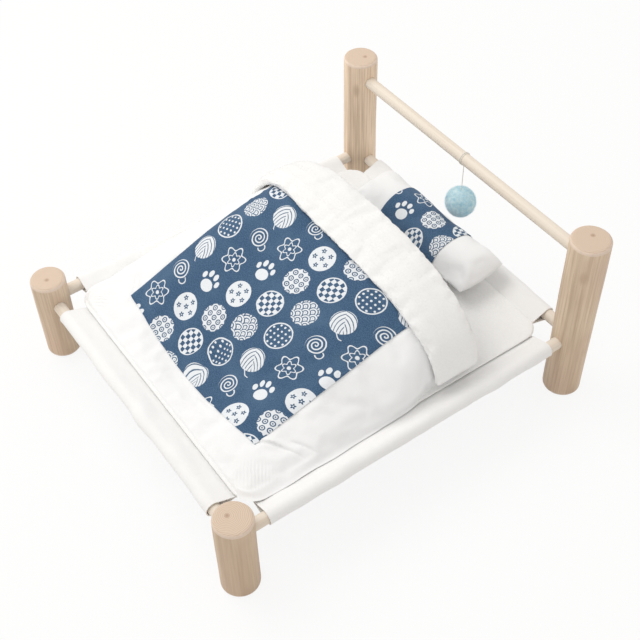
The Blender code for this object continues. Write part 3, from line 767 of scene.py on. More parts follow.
class Motif:
    """Masks in millimetres about a cell's middle: 1 is white ink and 0 is bare denim."""

    def __init__(self, x, y):
        self.x = x
        self.y = y
        self.radius = reach(x, y)
        self.angle = y.maths("ARCTAN2", x)

    def disc(self, radius):
        return within(self.radius, radius)

    def ring(self, radius, width):
        return line(self.radius - radius, width)

    def spot_disc(self, pitch=6.1, spot=1.35):
        spots = within(reach(repeat(self.x, pitch), repeat(self.y, pitch)), spot)
        return either(self.ring(16.4, 1.6), spots * self.disc(15.0))

    def paw(self):
        pad = within(reach(self.x / 9.0, (self.y + 4.6) / 7.2) * 8.0, 8.0)
        sides = self.x.maths("ABSOLUTE")
        near = within(reach((sides - 4.3) / 3.1, (self.y - 9.6) / 4.4) * 3.8, 3.8)
        far = within(reach((sides - 11.2) / 2.9, (self.y - 3.8) / 4.0) * 3.5, 3.5)
        return either(pad, near, far)

    def wave_disc(self, row=6.0, arch=12.4, gap=3.1, line_half=0.62):
        """Rows of arcs, each row shifted by half an arc."""
        shift = cell_of(self.y, row).maths("MODULO", 2.0) * (arch / 2)
        up = (self.y / row + 40.0).maths("FRACT") * row
        arcs = repeat(reach(repeat(self.x + shift, arch), up), gap).maths("ABSOLUTE")
        return self.disc(16.6) * (1 - within(arcs, line_half))

    def rosette(self, petals=6.0):
        edge = (self.angle * petals).maths("COSINE") * 2.6 + 13.4
        inner = (self.angle * petals + math.pi).maths("COSINE") * 1.6 + 7.0
        return either(self.ring(edge, 1.7), self.ring(inner, 1.4), self.disc(2.3))

    def check_disc(self, square=5.2):
        odd = (cell_of(self.x, square) + cell_of(self.y, square)).maths("MODULO", 2.0)
        return either(self.ring(16.2, 1.5), odd * self.disc(16.0))

    def spiral(self, pitch=4.3):
        turns = self.radius / pitch - self.angle / math.tau + 20.0
        coil = line((turns.maths("FRACT") - 0.5) * pitch, 1.6)
        tail = line(reach(self.x - 9.5, self.y + 9.0) - 4.6, 1.3)
        return either(coil * self.disc(12.4), tail * (1 - self.disc(12.4)))

    def ring_disc(self, pitch=8.4):
        around = reach(repeat(self.x, pitch), repeat(self.y, pitch))
        return self.disc(16.8) * (1 - either(line(around - 2.7, 1.3), within(around, 0.9)))

    def wool_ball(self, strand=4.6, gap_half=0.55, bend=0.030):
        rising = repeat(self.y + self.x * self.x * bend, strand)
        falling = repeat(self.x - self.y * self.y * bend, strand)
        one_way, other_way = (within(way.maths("ABSOLUTE"), gap_half) for way in (rising, falling))
        above = (self.x + self.y) > 2.0
        ball = self.disc(15.2) * (1 - (one_way * above + other_way * (1 - above)))
        tail = line(self.y + 15.0 - (self.x * 0.35).maths("SINE") * 1.4, 1.2)
        return either(ball, tail * ((self.x > 2.0) * (self.x < 17.5)))

    def bloom(self, x, y, size):
        edge = (y.maths("ARCTAN2", x) * 5.0).maths("COSINE") * (0.24 * size) + 0.76 * size
        return within(reach(x, y) - edge, 0.0)

    def bloom_disc(self, fifth=math.tau / 5, out=10.4, heart=0.8):
        folded = ((self.angle / fifth + 10.5).maths("FRACT") - 0.5) * fifth
        x = self.radius * folded.maths("COSINE") - out
        y = self.radius * folded.maths("SINE")
        blooms = either(self.bloom(self.x, self.y, 3.6), self.bloom(x, y, 3.4))
        hearts = either(self.disc(heart), within(reach(x, y), heart))
        return self.disc(16.6) * (1 - blooms * (1 - hearts))


def print_finish():
    finish = Finish("blue_print", 0.90, Specular_IOR_Level=0.12, Sheen_Weight=0.10, Sheen_Roughness=0.5)
    cloth = finish.uv()
    wander = (finish.noise(cloth, 260.0) - 0.5) * INK_WANDER
    u, v, _ = finish.split(cloth)
    across = u / CELL_WIDE + GRID_SHIFT[0]
    column = across.maths("FLOOR")
    upward = v / CELL_HIGH + column.maths("MODULO", 2.0) * 0.5 + GRID_SHIFT[1]
    row = upward.maths("FLOOR")
    tilt = (column * 12.9 + row * 78.2).maths("SINE") * TILT_LARGEST
    x = (across.maths("FRACT") - 0.5) * (1000 * CELL_WIDE) + wander
    y = (upward.maths("FRACT") - 0.5) * (1000 * CELL_HIGH) + wander
    motif = Motif(*turned_by(x, y, tilt))
    kinds = (motif.spot_disc, motif.paw, motif.wave_disc, motif.rosette, motif.check_disc)
    kinds += (motif.spiral, motif.ring_disc, motif.wool_ball, motif.bloom_disc)
    pick = (column * 5.0 + row * 2.0).maths("MODULO", float(len(kinds)))
    ink = None
    for number, kind in enumerate(kinds):
        chosen = kind() * (1 - ((pick - float(number)).maths("ABSOLUTE") > 0.5))
        ink = chosen if ink is None else ink + chosen
    yarn = (finish.noise(cloth, (2600, 260, 0)) + finish.noise(cloth, (260, 2600, 0))) * 0.5
    fade = finish.noise(cloth, 22.0, 3.0)
    flecks = finish.noise(cloth, 800.0, 2.0, 0.6)
    shade = yarn.between(0.36, 0.62) * 0.45 + flecks.between(0.40, 0.62) * 0.65
    blue = finish.mix(shade, DENIM_PALE, DENIM_DARK)
    blue = finish.mix(fade.between(0.4, 0.8) * 0.35, blue, DENIM_FADED)
    worn = ink.maths("MINIMUM", 1.0) * (1 - yarn.between(0.56, 0.70) * 0.35)
    finish.colour(finish.mix(worn, blue, INK_WHITE))
    finish.bump(weave(u, v, WEAVE_PITCH) + yarn, 0.00009, 0.5)
    return finish


blue_print = print_finish()
print("print:", len(blue_print.tree.nodes), "nodes")

# %% [markdown]
# ## Sheets and shells
# A sheet is a grid of points with a cloth coordinate in metres at each. A shell is two sheets that share
# their border, which makes a closed, filled piece. Both can be left to settle in a short cloth simulation,
# which gives folds that no formula has.

# %% Sheet helpers
SETTLE_FRAMES = 20
FIRST_RIPPLE = 0.0005
FABRIC = {
    "quality": 6,
    "mass": 0.2,
    "tension_stiffness": 20,
    "compression_stiffness": 20,
    "shear_stiffness": 8,
    "bending_stiffness": 0.35,
    "air_damping": 4,
}


def grid_cells(rows):
    return [(r, c) for r in range(len(rows) - 1) for c in range(len(rows[0]) - 1)]


def add_faces(shape, points, cloth, rings):
    """Adds rows of points, and a face for each ring of (row, column) places, with its cloth coordinates."""
    layer = shape.loops.layers.uv["cloth"]
    verts = [[shape.verts.new(point) for point in row] for row in points]
    for ring in rings:
        face = shape.faces.new([verts[row][column % len(verts[row])] for row, column in ring])
        for loop, (row, column) in zip(face.loops, ring):
            loop[layer].uv = cloth[row][column]
    return verts


def sheet_shape(points, cloth, cells=None):
    """A bmesh of a grid of points in row order, with UV coordinates in metres."""
    shape = bmesh.new()
    shape.loops.layers.uv.new("cloth")
    kept = cells or grid_cells(points)
    add_faces(shape, points, cloth, [[(r, c), (r, c + 1), (r + 1, c + 1), (r + 1, c)] for r, c in kept])
    if cells:
        bmesh.ops.delete(shape, geom=[v for v in shape.verts if not v.link_faces], context="VERTS")
    shape.normal_update()
    return shape


def shell_shape(top, bottom, cloth):
    """A closed piece from two grids of points that meet at their borders."""
    shape = sheet_shape(top, cloth)
    rings = [[(r, c), (r + 1, c), (r + 1, c + 1), (r, c + 1)] for r, c in grid_cells(top)]
    add_faces(shape, bottom, cloth, rings)
    bmesh.ops.remove_doubles(shape, verts=shape.verts, dist=MERGE)
    shape.normal_update()
    return shape


def weighted(obj, name, weights):
    group = obj.vertex_groups.new(name=name)
    for i, weight in enumerate(weights):
        group.add([i], weight, "REPLACE")
    return name


def settle(shape, pins, spare, air, limit, drawn=None, drawn_in=0.05, seed=0.0):
    """Lets the cloth of a bmesh buckle and moves each vertex by no more than a limit.

    pins says how firmly each vertex is held, from 0 to 1. spare is how much longer the cloth is than its
    form. drawn marks the vertices, from 0 to 1, where sewing gathers it instead."""
    shape.verts.ensure_lookup_table()
    shape.normal_update()
    start = [vertex.co.copy() for vertex in shape.verts]
    for vertex in shape.verts:
        vertex.co += vertex.normal * FIRST_RIPPLE * noise.noise(vertex.co * 70 + Vector((seed, 0, 0)))
    mesh = bpy.data.meshes.new("settling")
    shape.to_mesh(mesh)
    obj = linked("settling", mesh)
    modifier = obj.modifiers.new("cloth", "CLOTH")
    settings = modifier.settings
    for key, value in FABRIC.items():
        setattr(settings, key, value)
    settings.effector_weights.gravity = 0.0
    settings.vertex_group_mass = weighted(obj, "held", pins)
    settings.shrink_min = settings.shrink_max = -spare
    if drawn:
        settings.vertex_group_shrink = weighted(obj, "gathered", drawn)
        settings.shrink_max = drawn_in
    settings.use_pressure = air != 0
    settings.uniform_pressure_force = air
    modifier.point_cache.frame_start = 1
    modifier.point_cache.frame_end = SETTLE_FRAMES
    for frame_number in range(1, SETTLE_FRAMES + 1):
        scene.frame_set(frame_number)
    settled = evaluated(obj)
    scene.frame_set(1)
    furthest = 0.0
    for vertex, old, new in zip(shape.verts, start, settled.vertices):
        shift = new.co - old
        furthest = max(furthest, shift.length)
        if shift.length > limit:
            shift *= limit / shift.length
        vertex.co = old + shift
    bpy.data.meshes.remove(settled)
    shape.normal_update()
    print("settled", len(start), "points, furthest", round(furthest * 1000, 1), "mm")


print("sheet helpers ready")

# %% [markdown]
# ## Sling
# One cloth, cut as a rectangle with a square taken out of each corner for the post. Each edge goes over its
# rail, round it and back under, and is stitched through both layers. The flat pattern is the grid: a place
# inside the seams lies in the tray, and a place outside them follows the loop round the rail.

# %% Sling
CLOTH = 0.0011
LOOP_RADIUS = 0.0087
SIDE_STOP = HALF_Y - 0.039
END_STOP = HALF_X - 0.041
HEM = 0.006
LAYER_STEP = 0.0014
CORNER_EASE = 0.0016
SEAM_CELL = 0.0035
PULL_HEIGHT = 0.0012
PULLS = 11
PULL_REACH = 0.05
WAVE_HEIGHT = 0.0016
PUCKER_HEIGHT = 0.0006
PUCKER_REACH = 0.010
SEAM_SINK = 0.0004
SLEEVE_LOOSENESS = 0.0026

loop_turn = math.pi - math.acos(LOOP_RADIUS / SLEEVE_SEAM)
loop_leave = Vector((LOOP_RADIUS * math.cos(loop_turn), LOOP_RADIUS * math.sin(loop_turn)))
sleeve_slope = loop_leave.y / (SLEEVE_SEAM + loop_leave.x)
loop_straight = math.sqrt(SLEEVE_SEAM**2 - LOOP_RADIUS**2)
loop_arc = 2 * loop_turn * LOOP_RADIUS
loop_length = 2 * loop_straight + loop_arc + HEM


def loop_point(distance):
    """Place on the way round a rail: outward from the rail's middle, and up from it."""
    seam = Vector((-SLEEVE_SEAM, 0.0))
    if distance < loop_straight:
        return seam.lerp(loop_leave, distance / loop_straight)
    if distance < loop_straight + loop_arc:
        angle = loop_turn - (distance - loop_straight) / LOOP_RADIUS
        return Vector((LOOP_RADIUS * math.cos(angle), LOOP_RADIUS * math.sin(angle)))
    back = distance - loop_straight - loop_arc
    under_seam = seam - Vector((0.0, LAYER_STEP))
    if back < loop_straight:
        return Vector((loop_leave.x, -loop_leave.y)).lerp(under_seam, back / loop_straight)
    return under_seam - Vector((back - loop_straight, 0.0))


def rest_top(x, y):
    """Top of the cloth under the bag's edges: the tray, and outside its seams the rise to the rail."""
    beyond = max(abs(x) - SEAM_X, abs(y) - SEAM_Y)
    if beyond <= 0:
        return sling_height(x, y) + CLOTH / 2
    return RAIL_HEIGHT + beyond * sleeve_slope + CLOTH / 2


def slack(x, y):
    """How far the tray's cloth stands off its smooth form: soft waves, and pulls towards the cut-outs."""
    corner = math.hypot(HALF_X - abs(x), HALF_Y - abs(y))
    around = math.atan2(HALF_Y - abs(y), HALF_X - abs(x))
    pull = PULL_HEIGHT * math.cos(around * PULLS + 3 * math.copysign(1, x))
    pull *= math.exp(-max(0.0, corner - PULL_REACH) / PULL_REACH)
    edge = max(0.0, min(SEAM_X - abs(x), SEAM_Y - abs(y)))
    waves = WAVE_HEIGHT * ripple(x, y, 20, 0.0) * smoothstep(edge, 0.0, 0.03)
    pucker = PUCKER_HEIGHT * ripple(x, y, 95, 3.0) * math.exp(-edge / PUCKER_REACH)
    return waves + pull * smoothstep(edge, 0.0, 0.02) + pucker - SEAM_SINK * math.exp(-edge / 0.003)


def sling_point(u, v):
    """Where a place of the flat pattern lies on the finished bed."""
    side, end = abs(u) - SEAM_X, abs(v) - SEAM_Y
    if side <= 0 and end <= 0:
        return Vector((u, v, sling_height(u, v) + slack(u, v)))
    out, up = loop_point(max(side, end))
    along = v if side > 0 else u
    edge_sign = math.copysign(1, u) if side > 0 else math.copysign(2, v)
    loose = max(0.0, noise.noise(Vector((along * 26, out * 60, 5.0 * edge_sign))))
    away = math.hypot(out, up)
    if away < SLEEVE_SEAM * 0.8:
        out, up = Vector((out, up)) * (1 + SLEEVE_LOOSENESS * loose / away)
    x = math.copysign(HALF_X + out, u) if side > 0 else u
    y = v if side > 0 else math.copysign(HALF_Y + out, v)
    if max(side, end) > loop_length - HEM:
        up = sling_height(x, y) + slack(x, y) - LAYER_STEP - RAIL_HEIGHT
    return Vector((x, y, RAIL_HEIGHT + up))


def pattern_line(stop, seam, steps):
    """Grid lines across half the pattern: over the tray, to the cut-out, to the seam and round the rail."""
    lines = [0.0]
    spans = [(stop, steps), (seam - stop, round((seam - stop) / SEAM_CELL))]
    spans += [(loop_straight, 8), (loop_arc, 18), (loop_straight, 7), (HEM, 2)]
    for length, count in spans:
        lines += list(lines[-1] + length * (np.arange(count) + 1) / count)
    return [-line for line in reversed(lines[1:])] + lines


def middle_of(lines, i):
    return abs(lines[i] + lines[i + 1]) / 2


lines_u = pattern_line(END_STOP, SEAM_X, 46)
lines_v = pattern_line(SIDE_STOP, SEAM_Y, 55)
pattern = [[(float(u), float(v)) for u in lines_u] for v in lines_v]
cells = [
    (r, c)
    for r, c in grid_cells(pattern)
    if middle_of(lines_u, c) < END_STOP or middle_of(lines_v, r) < SIDE_STOP
]
for row in pattern:
    for c, (u, v) in enumerate(row):
        if abs(abs(u) - END_STOP) < MERGE and abs(abs(v) - SIDE_STOP) < MERGE:
            row[c] = (u + math.copysign(CORNER_EASE, u), v + math.copysign(CORNER_EASE, v))
shape = sheet_shape([[sling_point(u, v) for u, v in row] for row in pattern], pattern, cells)
sling_area = sum(face.calc_area() for face in shape.faces)
sling_mesh = remade(shape, thickness=CLOTH)
sling = dressed("sling_cloth", sling_mesh, canvas, "frame", "sling", slot="canvas")
flat_size = (2 * lines_u[-1], 2 * lines_v[-1])
print("sling flat", [round(v, 4) for v in flat_size], "area", round(sling_area, 4))

# %% [markdown]
# ## Sling stitching
# The four sleeves are sewn down with one row of stitches each, along the tray's edge.

# %% Sling stitching
STITCH_PITCH = 0.0034
STITCH_LENGTH = 0.0024
STITCH_RADIUS = 0.00030
STITCH_HEIGHT = CLOTH / 2 + STITCH_RADIUS * 0.4
SEAM_INSET = 0.0006
SEAM_END = 0.004


def stitch_row(shape, stop, place, along):
    """Sews from -stop to stop. place gives the point of the cloth at each distance."""
    cone = {"cap_ends": True, "segments": 6, "radius1": STITCH_RADIUS, "radius2": STITCH_RADIUS}
    for run in np.arange(-stop + SEAM_END, stop - SEAM_END, STITCH_PITCH):
        point = place(run) + UP * STITCH_HEIGHT
        verts = bmesh.ops.create_cone(shape, depth=STITCH_LENGTH, **cone)["verts"]
        bmesh.ops.transform(shape, matrix=laid_along(point, point + along), verts=verts)


shape = bmesh.new()
for sign in (-1, 1):
    seam_x, seam_y = sign * (SEAM_X - SEAM_INSET), sign * (SEAM_Y - SEAM_INSET)
    stitch_row(shape, SIDE_STOP, lambda run: sling_point(seam_x, run), Vector((0, 1, 0)))
    stitch_row(shape, END_STOP, lambda run: sling_point(run, seam_y), Vector((1, 0, 0)))
made = piece("sling_stitches", shape, white_thread, "frame")
print("stitches with", len(made.data.polygons), "faces")

# %% [markdown]
# ## Mattress pad
# A thin plush pad: two grids, top and bottom, that meet in a rounded border.

# %% Mattress pad
PAD_PLUSH = 0.0022
PAD_ROUNDING = 0.0065
PAD_CLEARANCE = 0.0004
BORDER_STEPS = [0.0, 0.0004, 0.0012, 0.0024, 0.0042]
edge_x, edge_y = PAD_HALF_X + PAD_PLUSH, PAD_HALF_Y + PAD_PLUSH


def border_steps(half, step):
    """Places from -half to half, closer together near both ends."""
    inset = BORDER_STEPS[-1]
    count = max(1, round((2 * half - 2 * inset) / step))
    inner = list(np.linspace(-half + inset, half - inset, count + 1))
    ends = BORDER_STEPS[:-1]
    return [-half + value for value in ends] + inner + [half - value for value in reversed(ends)]


def pad_half_width(y):
    into_corner = abs(y) - (edge_y - PAD_CORNER)
    if into_corner <= 0:
        return edge_x
    return edge_x - PAD_CORNER + math.sqrt(max(0.0, PAD_CORNER**2 - into_corner**2))


def pad_points(x, y, half):
    """The pad's upper and lower point at a place."""
    inward = min(half - abs(x), edge_y - abs(y))
    round_off = math.sqrt(1 - (1 - min(1.0, inward / PAD_ROUNDING)) ** 2)
    floor_height = max(sling_height(x, y) + PAD_LIFT, rest_top(x, y) + PAD_CLEARANCE)
    lumps = 0.0012 * ripple(x, y, 22, 9.0) + 0.0006 * ripple(x, y, 70, 2.0)
    middle = floor_height + PAD_EDGE / 2
    above = max(pad_top(x, y), middle + PAD_EDGE / 2)
    upper = middle + (above + lumps - middle) * round_off
    return Vector((x, y, upper)), Vector((x, y, middle - (middle - floor_height) * round_off))


top, bottom, cloth = [], [], []
for y in border_steps(edge_y, PAD_ROUNDING):
    half = pad_half_width(y)
    xs = [column / edge_x * half for column in border_steps(edge_x, PAD_ROUNDING)]
    upper, lower = zip(*(pad_points(x, y, half) for x in xs))
    top.append(upper)
    bottom.append(lower)
    cloth.append([(x, y) for x in xs])
shape = shell_shape(top, bottom, cloth)
pad = piece("pad", shape, white_plush, "sleeping_bag", "mattress_pad", slot="plush")
print("pad", len(pad.data.polygons), "faces")

# %% [markdown]
# ## Quilt
# The quilt's grid follows its seams: white border, the printed middle, and border again, with a row line
# along the patch's foot edge. Each row is spaced evenly between the seams, and the filling is thin at the
# hems and drawn in along the seams.

# %% Quilt surface
PATCH_FOOT_Y = -0.162
PATCH_HEAD_Y = 0.055
PATCH_BULGE = 0.009
QUILT_FILLING = 0.0058
HEM_FILLING = 0.0022
FILLING_REACH = 0.022
SEAM_DEPTH = 0.0011
SEAM_WIDTH = 0.0035
BORDER_CELLS = 16
PATCH_CELLS = 62
FIRST_PATCH_ROW = 13
LAST_PATCH_ROW = 69
MOUTH_ROWS = 13
ROW_SAMPLES = 241


def bulge(x, y):
    """The patch's foot edge bows towards the foot, because the quilt is fuller in its middle."""
    share = smoothstep(y, QUILT_FOOT_Y, PATCH_FOOT_Y) * (1 - smoothstep(y, PATCH_FOOT_Y, 0.0))
    return PATCH_BULGE * share * max(0.0, 1 - (x / PATCH_HALF_WIDTH) ** 2)


def quilt_row(y):
    """One row of points from the left hem to the right, evenly spaced between the seams."""
    angles = np.linspace(math.pi, 0.0, ROW_SAMPLES).tolist()
    row_ys = [y - bulge(quilt_inside(angle, y).x, y) for angle in angles]
    inside = [quilt_inside(angle, row_y) for angle, row_y in zip(angles, row_ys)]
    run = run_along(inside)
    left, right = np.interp([-PATCH_HALF_WIDTH, PATCH_HALF_WIDTH], [point.x for point in inside], run)
    border = np.linspace(0.0, left, BORDER_CELLS + 1)[:-1]
    middle = np.linspace(left, right, PATCH_CELLS + 1)[:-1]
    stations = np.concatenate([border, middle, np.linspace(right, run[-1], BORDER_CELLS + 1)])
    row = []
    for station in stations:
        to_hem = min(station, run[-1] - station, max(0.0, y - QUILT_FOOT_Y))
        filling = HEM_FILLING + (QUILT_FILLING - HEM_FILLING) * smoothstep(to_hem, 0.0, FILLING_REACH)
        to_seam = math.hypot(min(0.0, station - left, right - station), min(0.0, y - PATCH_FOOT_Y))
        if y >= PATCH_FOOT_Y:
            to_seam = min(abs(station - left), abs(station - right))
        elif left < station < right:
            to_seam = PATCH_FOOT_Y - y
        filling -= SEAM_DEPTH * math.exp(-((to_seam / SEAM_WIDTH) ** 2))
        angle, row_y = (float(np.interp(station, run, values)) for values in (angles, row_ys))
        row.append(quilt_at(angle, row_y, filling))
    return row, [(float(station) - float(run[-1]) / 2, float(y)) for station in stations]


shares = np.arange(FIRST_PATCH_ROW) / FIRST_PATCH_ROW
shares = (shares + 1 - np.cos(shares * math.pi / 2)) / 2
row_lines = list(QUILT_FOOT_Y + (PATCH_FOOT_Y - QUILT_FOOT_Y) * shares)
row_lines += list(np.linspace(PATCH_FOOT_Y, PATCH_HEAD_Y, LAST_PATCH_ROW - FIRST_PATCH_ROW + 1)[:-1])
row_lines += list(np.linspace(PATCH_HEAD_Y, QUILT_MOUTH_Y, MOUTH_ROWS))
quilt_rows, quilt_cloth = zip(*(quilt_row(y) for y in row_lines))
columns = len(quilt_rows[0])
print("quilt", len(quilt_rows), "rows of", columns)

# %% [markdown]
# ## Quilt folds
# A short cloth simulation with a little spare cloth lets the quilt buckle into its own folds, while the
# hems, the seams and the part under the cuff hold it.

# %% Quilt folds
SPARE_CLOTH = 0.012
AIR = 0.8
FOLD_LIMIT = 0.0045
HELD_FROM_Y = 0.050
SEAM_PIN = 0.5
LOOSE_PIN = 0.03


def quilt_pin(r, c):
    if min(c, columns - 1 - c, r) == 0 or row_lines[r] > HELD_FROM_Y:
        return 1.0
    on_seam = r >= FIRST_PATCH_ROW and c in (BORDER_CELLS, BORDER_CELLS + PATCH_CELLS)
    on_seam = on_seam or (r == FIRST_PATCH_ROW and BORDER_CELLS <= c <= BORDER_CELLS + PATCH_CELLS)
    return SEAM_PIN if on_seam else LOOSE_PIN


shape = sheet_shape(quilt_rows, quilt_cloth)
pins = [quilt_pin(r, c) for r in range(len(row_lines)) for c in range(columns)]
settle(shape, pins, SPARE_CLOTH, AIR, FOLD_LIMIT)
grid = [[shape.verts[r * columns + c] for c in range(columns)] for r in range(len(row_lines))]
quilt_points = [[vertex.co.copy() for vertex in row] for row in grid]
quilt_normals = [[vertex.normal.copy() for vertex in row] for row in grid]
shape.free()

# %% [markdown]
# ## Hem
# The hem is a thin lap all round the foot and sides, which lies on the sleeves and hides the pad's edge. It
# is two more rings of points, pushed straight out from the quilt's border and laid on the cloth below. At
# the right foot corner it stands up a little and leaves a pocket.

# %% Hem
SIDE_LAP_FOOT = 0.0075
SIDE_LAP_HEAD = 0.0028
FOOT_LAP = 0.0046
LAP_NARROWS = (-0.14, 0.05)
LAP_WANDER = 0.22
LAP_SHARES = (0.5, 1.0)
HEM_REST = 0.0008
HEM_RIPPLE = 0.0005
HEM_CLOTH = 0.0009
LINING_GAP = 0.0018
POCKET = Vector((0.183, -0.203))
POCKET_SIZE = 0.0110
POCKET_LIFT = 0.0060


def hem_turn(y, back):
    """The outward direction of the border: 0 at the sides, and a quarter turn at the foot."""
    into_corner = (QUILT_FOOT_Y + QUILT_CORNER - y) / QUILT_CORNER
    return math.asin(min(1.0, max(0.0, into_corner))) - back


def lap_point(base, side, turn, share):
    side_lap = SIDE_LAP_FOOT + (SIDE_LAP_HEAD - SIDE_LAP_FOOT) * smoothstep(base.y, *LAP_NARROWS)
    lap = side_lap + (FOOT_LAP - side_lap) * math.sin(turn) ** 2
    lap *= 1 + LAP_WANDER * noise.noise(base * 38)
    x = base.x + side * math.cos(turn) * lap * share
    y = base.y - math.sin(turn) * lap * share
    lift = POCKET_LIFT * share * math.exp(-(((x - POCKET.x) ** 2 + (y - POCKET.y) ** 2) / POCKET_SIZE**2))
    rest = rest_top(x, y) + HEM_REST + HEM_RIPPLE * share * (1 + noise.noise(base * 90))
    return Vector((x, y, rest + (base.z - rest) * (1 - share) ** 1.4 + lift))


def with_hem(rows, lines):
    """The grid with two more columns on each side and two more rows at the foot."""
    bases = [(rows[0], lines[0], share) for share in reversed(LAP_SHARES)]
    bases += [(row, y, 0.0) for row, y in zip(rows, lines)]
    wide = []
    for row, y, out in bases:
        turn = hem_turn(y, math.radians(10 if out else 20 if y == lines[0] else 0))
        left, right = (
            [lap_point(base, side, turn, max(out, share)) for share in LAP_SHARES]
            for side, base in ((-1, row[0]), (1, row[-1]))
        )
        middle = row
        if out:
            middle = [lap_point(base, math.copysign(1, base.x), math.pi / 2, out) for base in row]
        wide.append([*reversed(left), *middle, *right])
    return wide


def cloth_with_hem(rows):
    """Cloth coordinates that go with the added rows and columns."""
    out = [share * SIDE_LAP_FOOT for share in LAP_SHARES]
    tall = [[(u, v - more) for u, v in rows[0]] for more in reversed(out)] + list(rows)
    wide = []
    for row in tall:
        (first, v), (last, _) = row[0], row[-1]
        wide.append([(first - more, v) for more in reversed(out)] + row + [(last + more, v) for more in out])
    return wide


top = with_hem(quilt_points, row_lines)
rings = len(LAP_SHARES)
bottom = []
for r, row in enumerate(top):
    under = []
    for c, point in enumerate(row):
        into = min(r, c, len(row) - 1 - c)
        if into == 0 or r == len(top) - 1:
            under.append(point.copy())
        elif into < rings:
            under.append(point - UP * HEM_CLOTH)
        else:
            filling = QUILT_FILLING - LINING_GAP - HEM_CLOTH
            filling = HEM_CLOTH + filling * smoothstep(into - rings, 0.0, 5.0)
            under.append(point - quilt_normals[r - rings][c - rings] * filling)
    bottom.append(under)
shell = shell_shape(top, bottom, cloth_with_hem(quilt_cloth))
print("quilt's volume", round(shell.calc_volume(signed=True) * 1e6), "ml")

# %% [markdown]
# ## Creases and gathers
# Two sharp creases start at the patch's right corner and one at its left, where the border is pulled, and
# the hem's thread gathers the corners into fine parallel folds. They need a finer mesh than the rest, so
# only that region is divided once more before its points are moved along their normals.

# %% Creases and gathers
CREASES = (
    ((0.1365, -0.1605), (0.1600, -0.1400), (0.1830, -0.1265), 0.0020),
    ((0.1590, -0.1300), (0.1700, -0.1215), (0.1880, -0.1110), 0.0015),
    ((-0.1365, -0.1610), (-0.1560, -0.1480), (-0.1780, -0.1300), 0.0014),
)
CREASE_SAMPLES = 25
CREASE_WIDTH = 0.0014
RIDGE_AWAY = 0.0042
RIDGE_WIDTH = 0.0034
RIDGE_SHARE = 0.75
GATHER_MIDDLE = Vector((0.167, -0.184))
GATHER_ALONG = Vector((0.84, -0.55))
GATHER_REACH = (0.013, 0.019)
GATHER_PITCH = 0.0039
GATHER_HEIGHT = 0.00062
GATHER_WANDER = 0.0012
FINE_BEYOND = (0.128, -0.088)
CREASED_BEYOND = (0.130, -0.090)
FACES_UP = 0.15


def crease_depth(x, y):
    """A narrow valley along each crease with a low ridge beside it, deepest in its first half."""
    depth = 0.0
    for start, middle, end, deepest in CREASES:
        nearest, share = 1.0, 0.0
        for t in np.linspace(0.0, 1.0, CREASE_SAMPLES):
            near_x, near_y = (
                (1 - t) ** 2 * start[axis] + 2 * t * (1 - t) * middle[axis] + t * t * end[axis]
                for axis in (0, 1)
            )
            away = math.hypot(x - near_x, y - near_y)
            if away < abs(nearest):
                nearest, share = math.copysign(away, (y - near_y) - abs(x - near_x) * 0.6), t
        fade = min(1.0, 0.45 + share * 3) * (1 - share**3)
        valley = math.exp(-((nearest / CREASE_WIDTH) ** 2))
        ridge = math.exp(-(((nearest - RIDGE_AWAY) / RIDGE_WIDTH) ** 2))
        depth += deepest * fade * (RIDGE_SHARE * ridge - valley)
    return depth


def gather_height(x, y):
    away = Vector((abs(x), y)) - GATHER_MIDDLE
    along = away.dot(GATHER_ALONG)
    across = away.dot(Vector((-GATHER_ALONG.y, GATHER_ALONG.x)))
    window = math.exp(-((along / GATHER_REACH[0]) ** 2) - (across / GATHER_REACH[1]) ** 2)
    wander = GATHER_WANDER * ripple(x, y, 60, 1.0)
    return GATHER_HEIGHT * window * math.cos(math.tau * (across + wander) / GATHER_PITCH)


def in_corner(vertex, beyond):
    return abs(vertex.co.x) > beyond[0] and vertex.co.y < beyond[1] and vertex.normal.z > FACES_UP


shape = bmesh.new()
shape.from_mesh(remade(shell, levels=1))
outer = {vertex for vertex in shape.verts if in_corner(vertex, FINE_BEYOND)}
edges = [edge for edge in shape.edges if outer.issuperset(edge.verts)]
bmesh.ops.subdivide_edges(shape, edges=edges, cuts=1, use_grid_fill=True)
shape.normal_update()
for vertex in shape.verts:
    if in_corner(vertex, CREASED_BEYOND):
        x, y, _ = vertex.co
        vertex.co += vertex.normal * (crease_depth(x, y) + gather_height(x, y))
quilt = piece("quilt_cover", shape, white_cotton, "sleeping_bag", "quilt", slot="quilt_cotton")
print("quilt", len(quilt.data.polygons), "faces")

# %% [markdown]
# ## Patch
# The printed patch is the middle of the settled quilt again, a little proud of it. Its cloth coordinate is
# the length along the cloth, so that the print isn't stretched by the arch.

# %% Patch
PATCH_CLOTH = 0.0008
PATCH_PROUD = 0.0006
patch_columns = range(BORDER_CELLS, BORDER_CELLS + PATCH_CELLS + 1)
patch_points = [
    [quilt_points[r][c] + quilt_normals[r][c] * PATCH_PROUD for c in patch_columns]
    for r in range(FIRST_PATCH_ROW, LAST_PATCH_ROW + 1)
]
patch_cloth = [[(quilt_cloth[FIRST_PATCH_ROW][c][0], PATCH_FOOT_Y) for c in patch_columns]]
for below, row in zip(patch_points, patch_points[1:]):
    steps = [(there - here).length for here, there in zip(below, row)]
    patch_cloth.append([(u, v + step) for (u, v), step in zip(patch_cloth[-1], steps)])
patch_mesh = remade(sheet_shape(patch_points, patch_cloth), 1, PATCH_CLOTH, 1.0)
patch = dressed("patch_cloth", patch_mesh, blue_print, "sleeping_bag", "quilt_patch", slot="printed_cotton")
print("patch", len(patch.data.polygons), "faces")

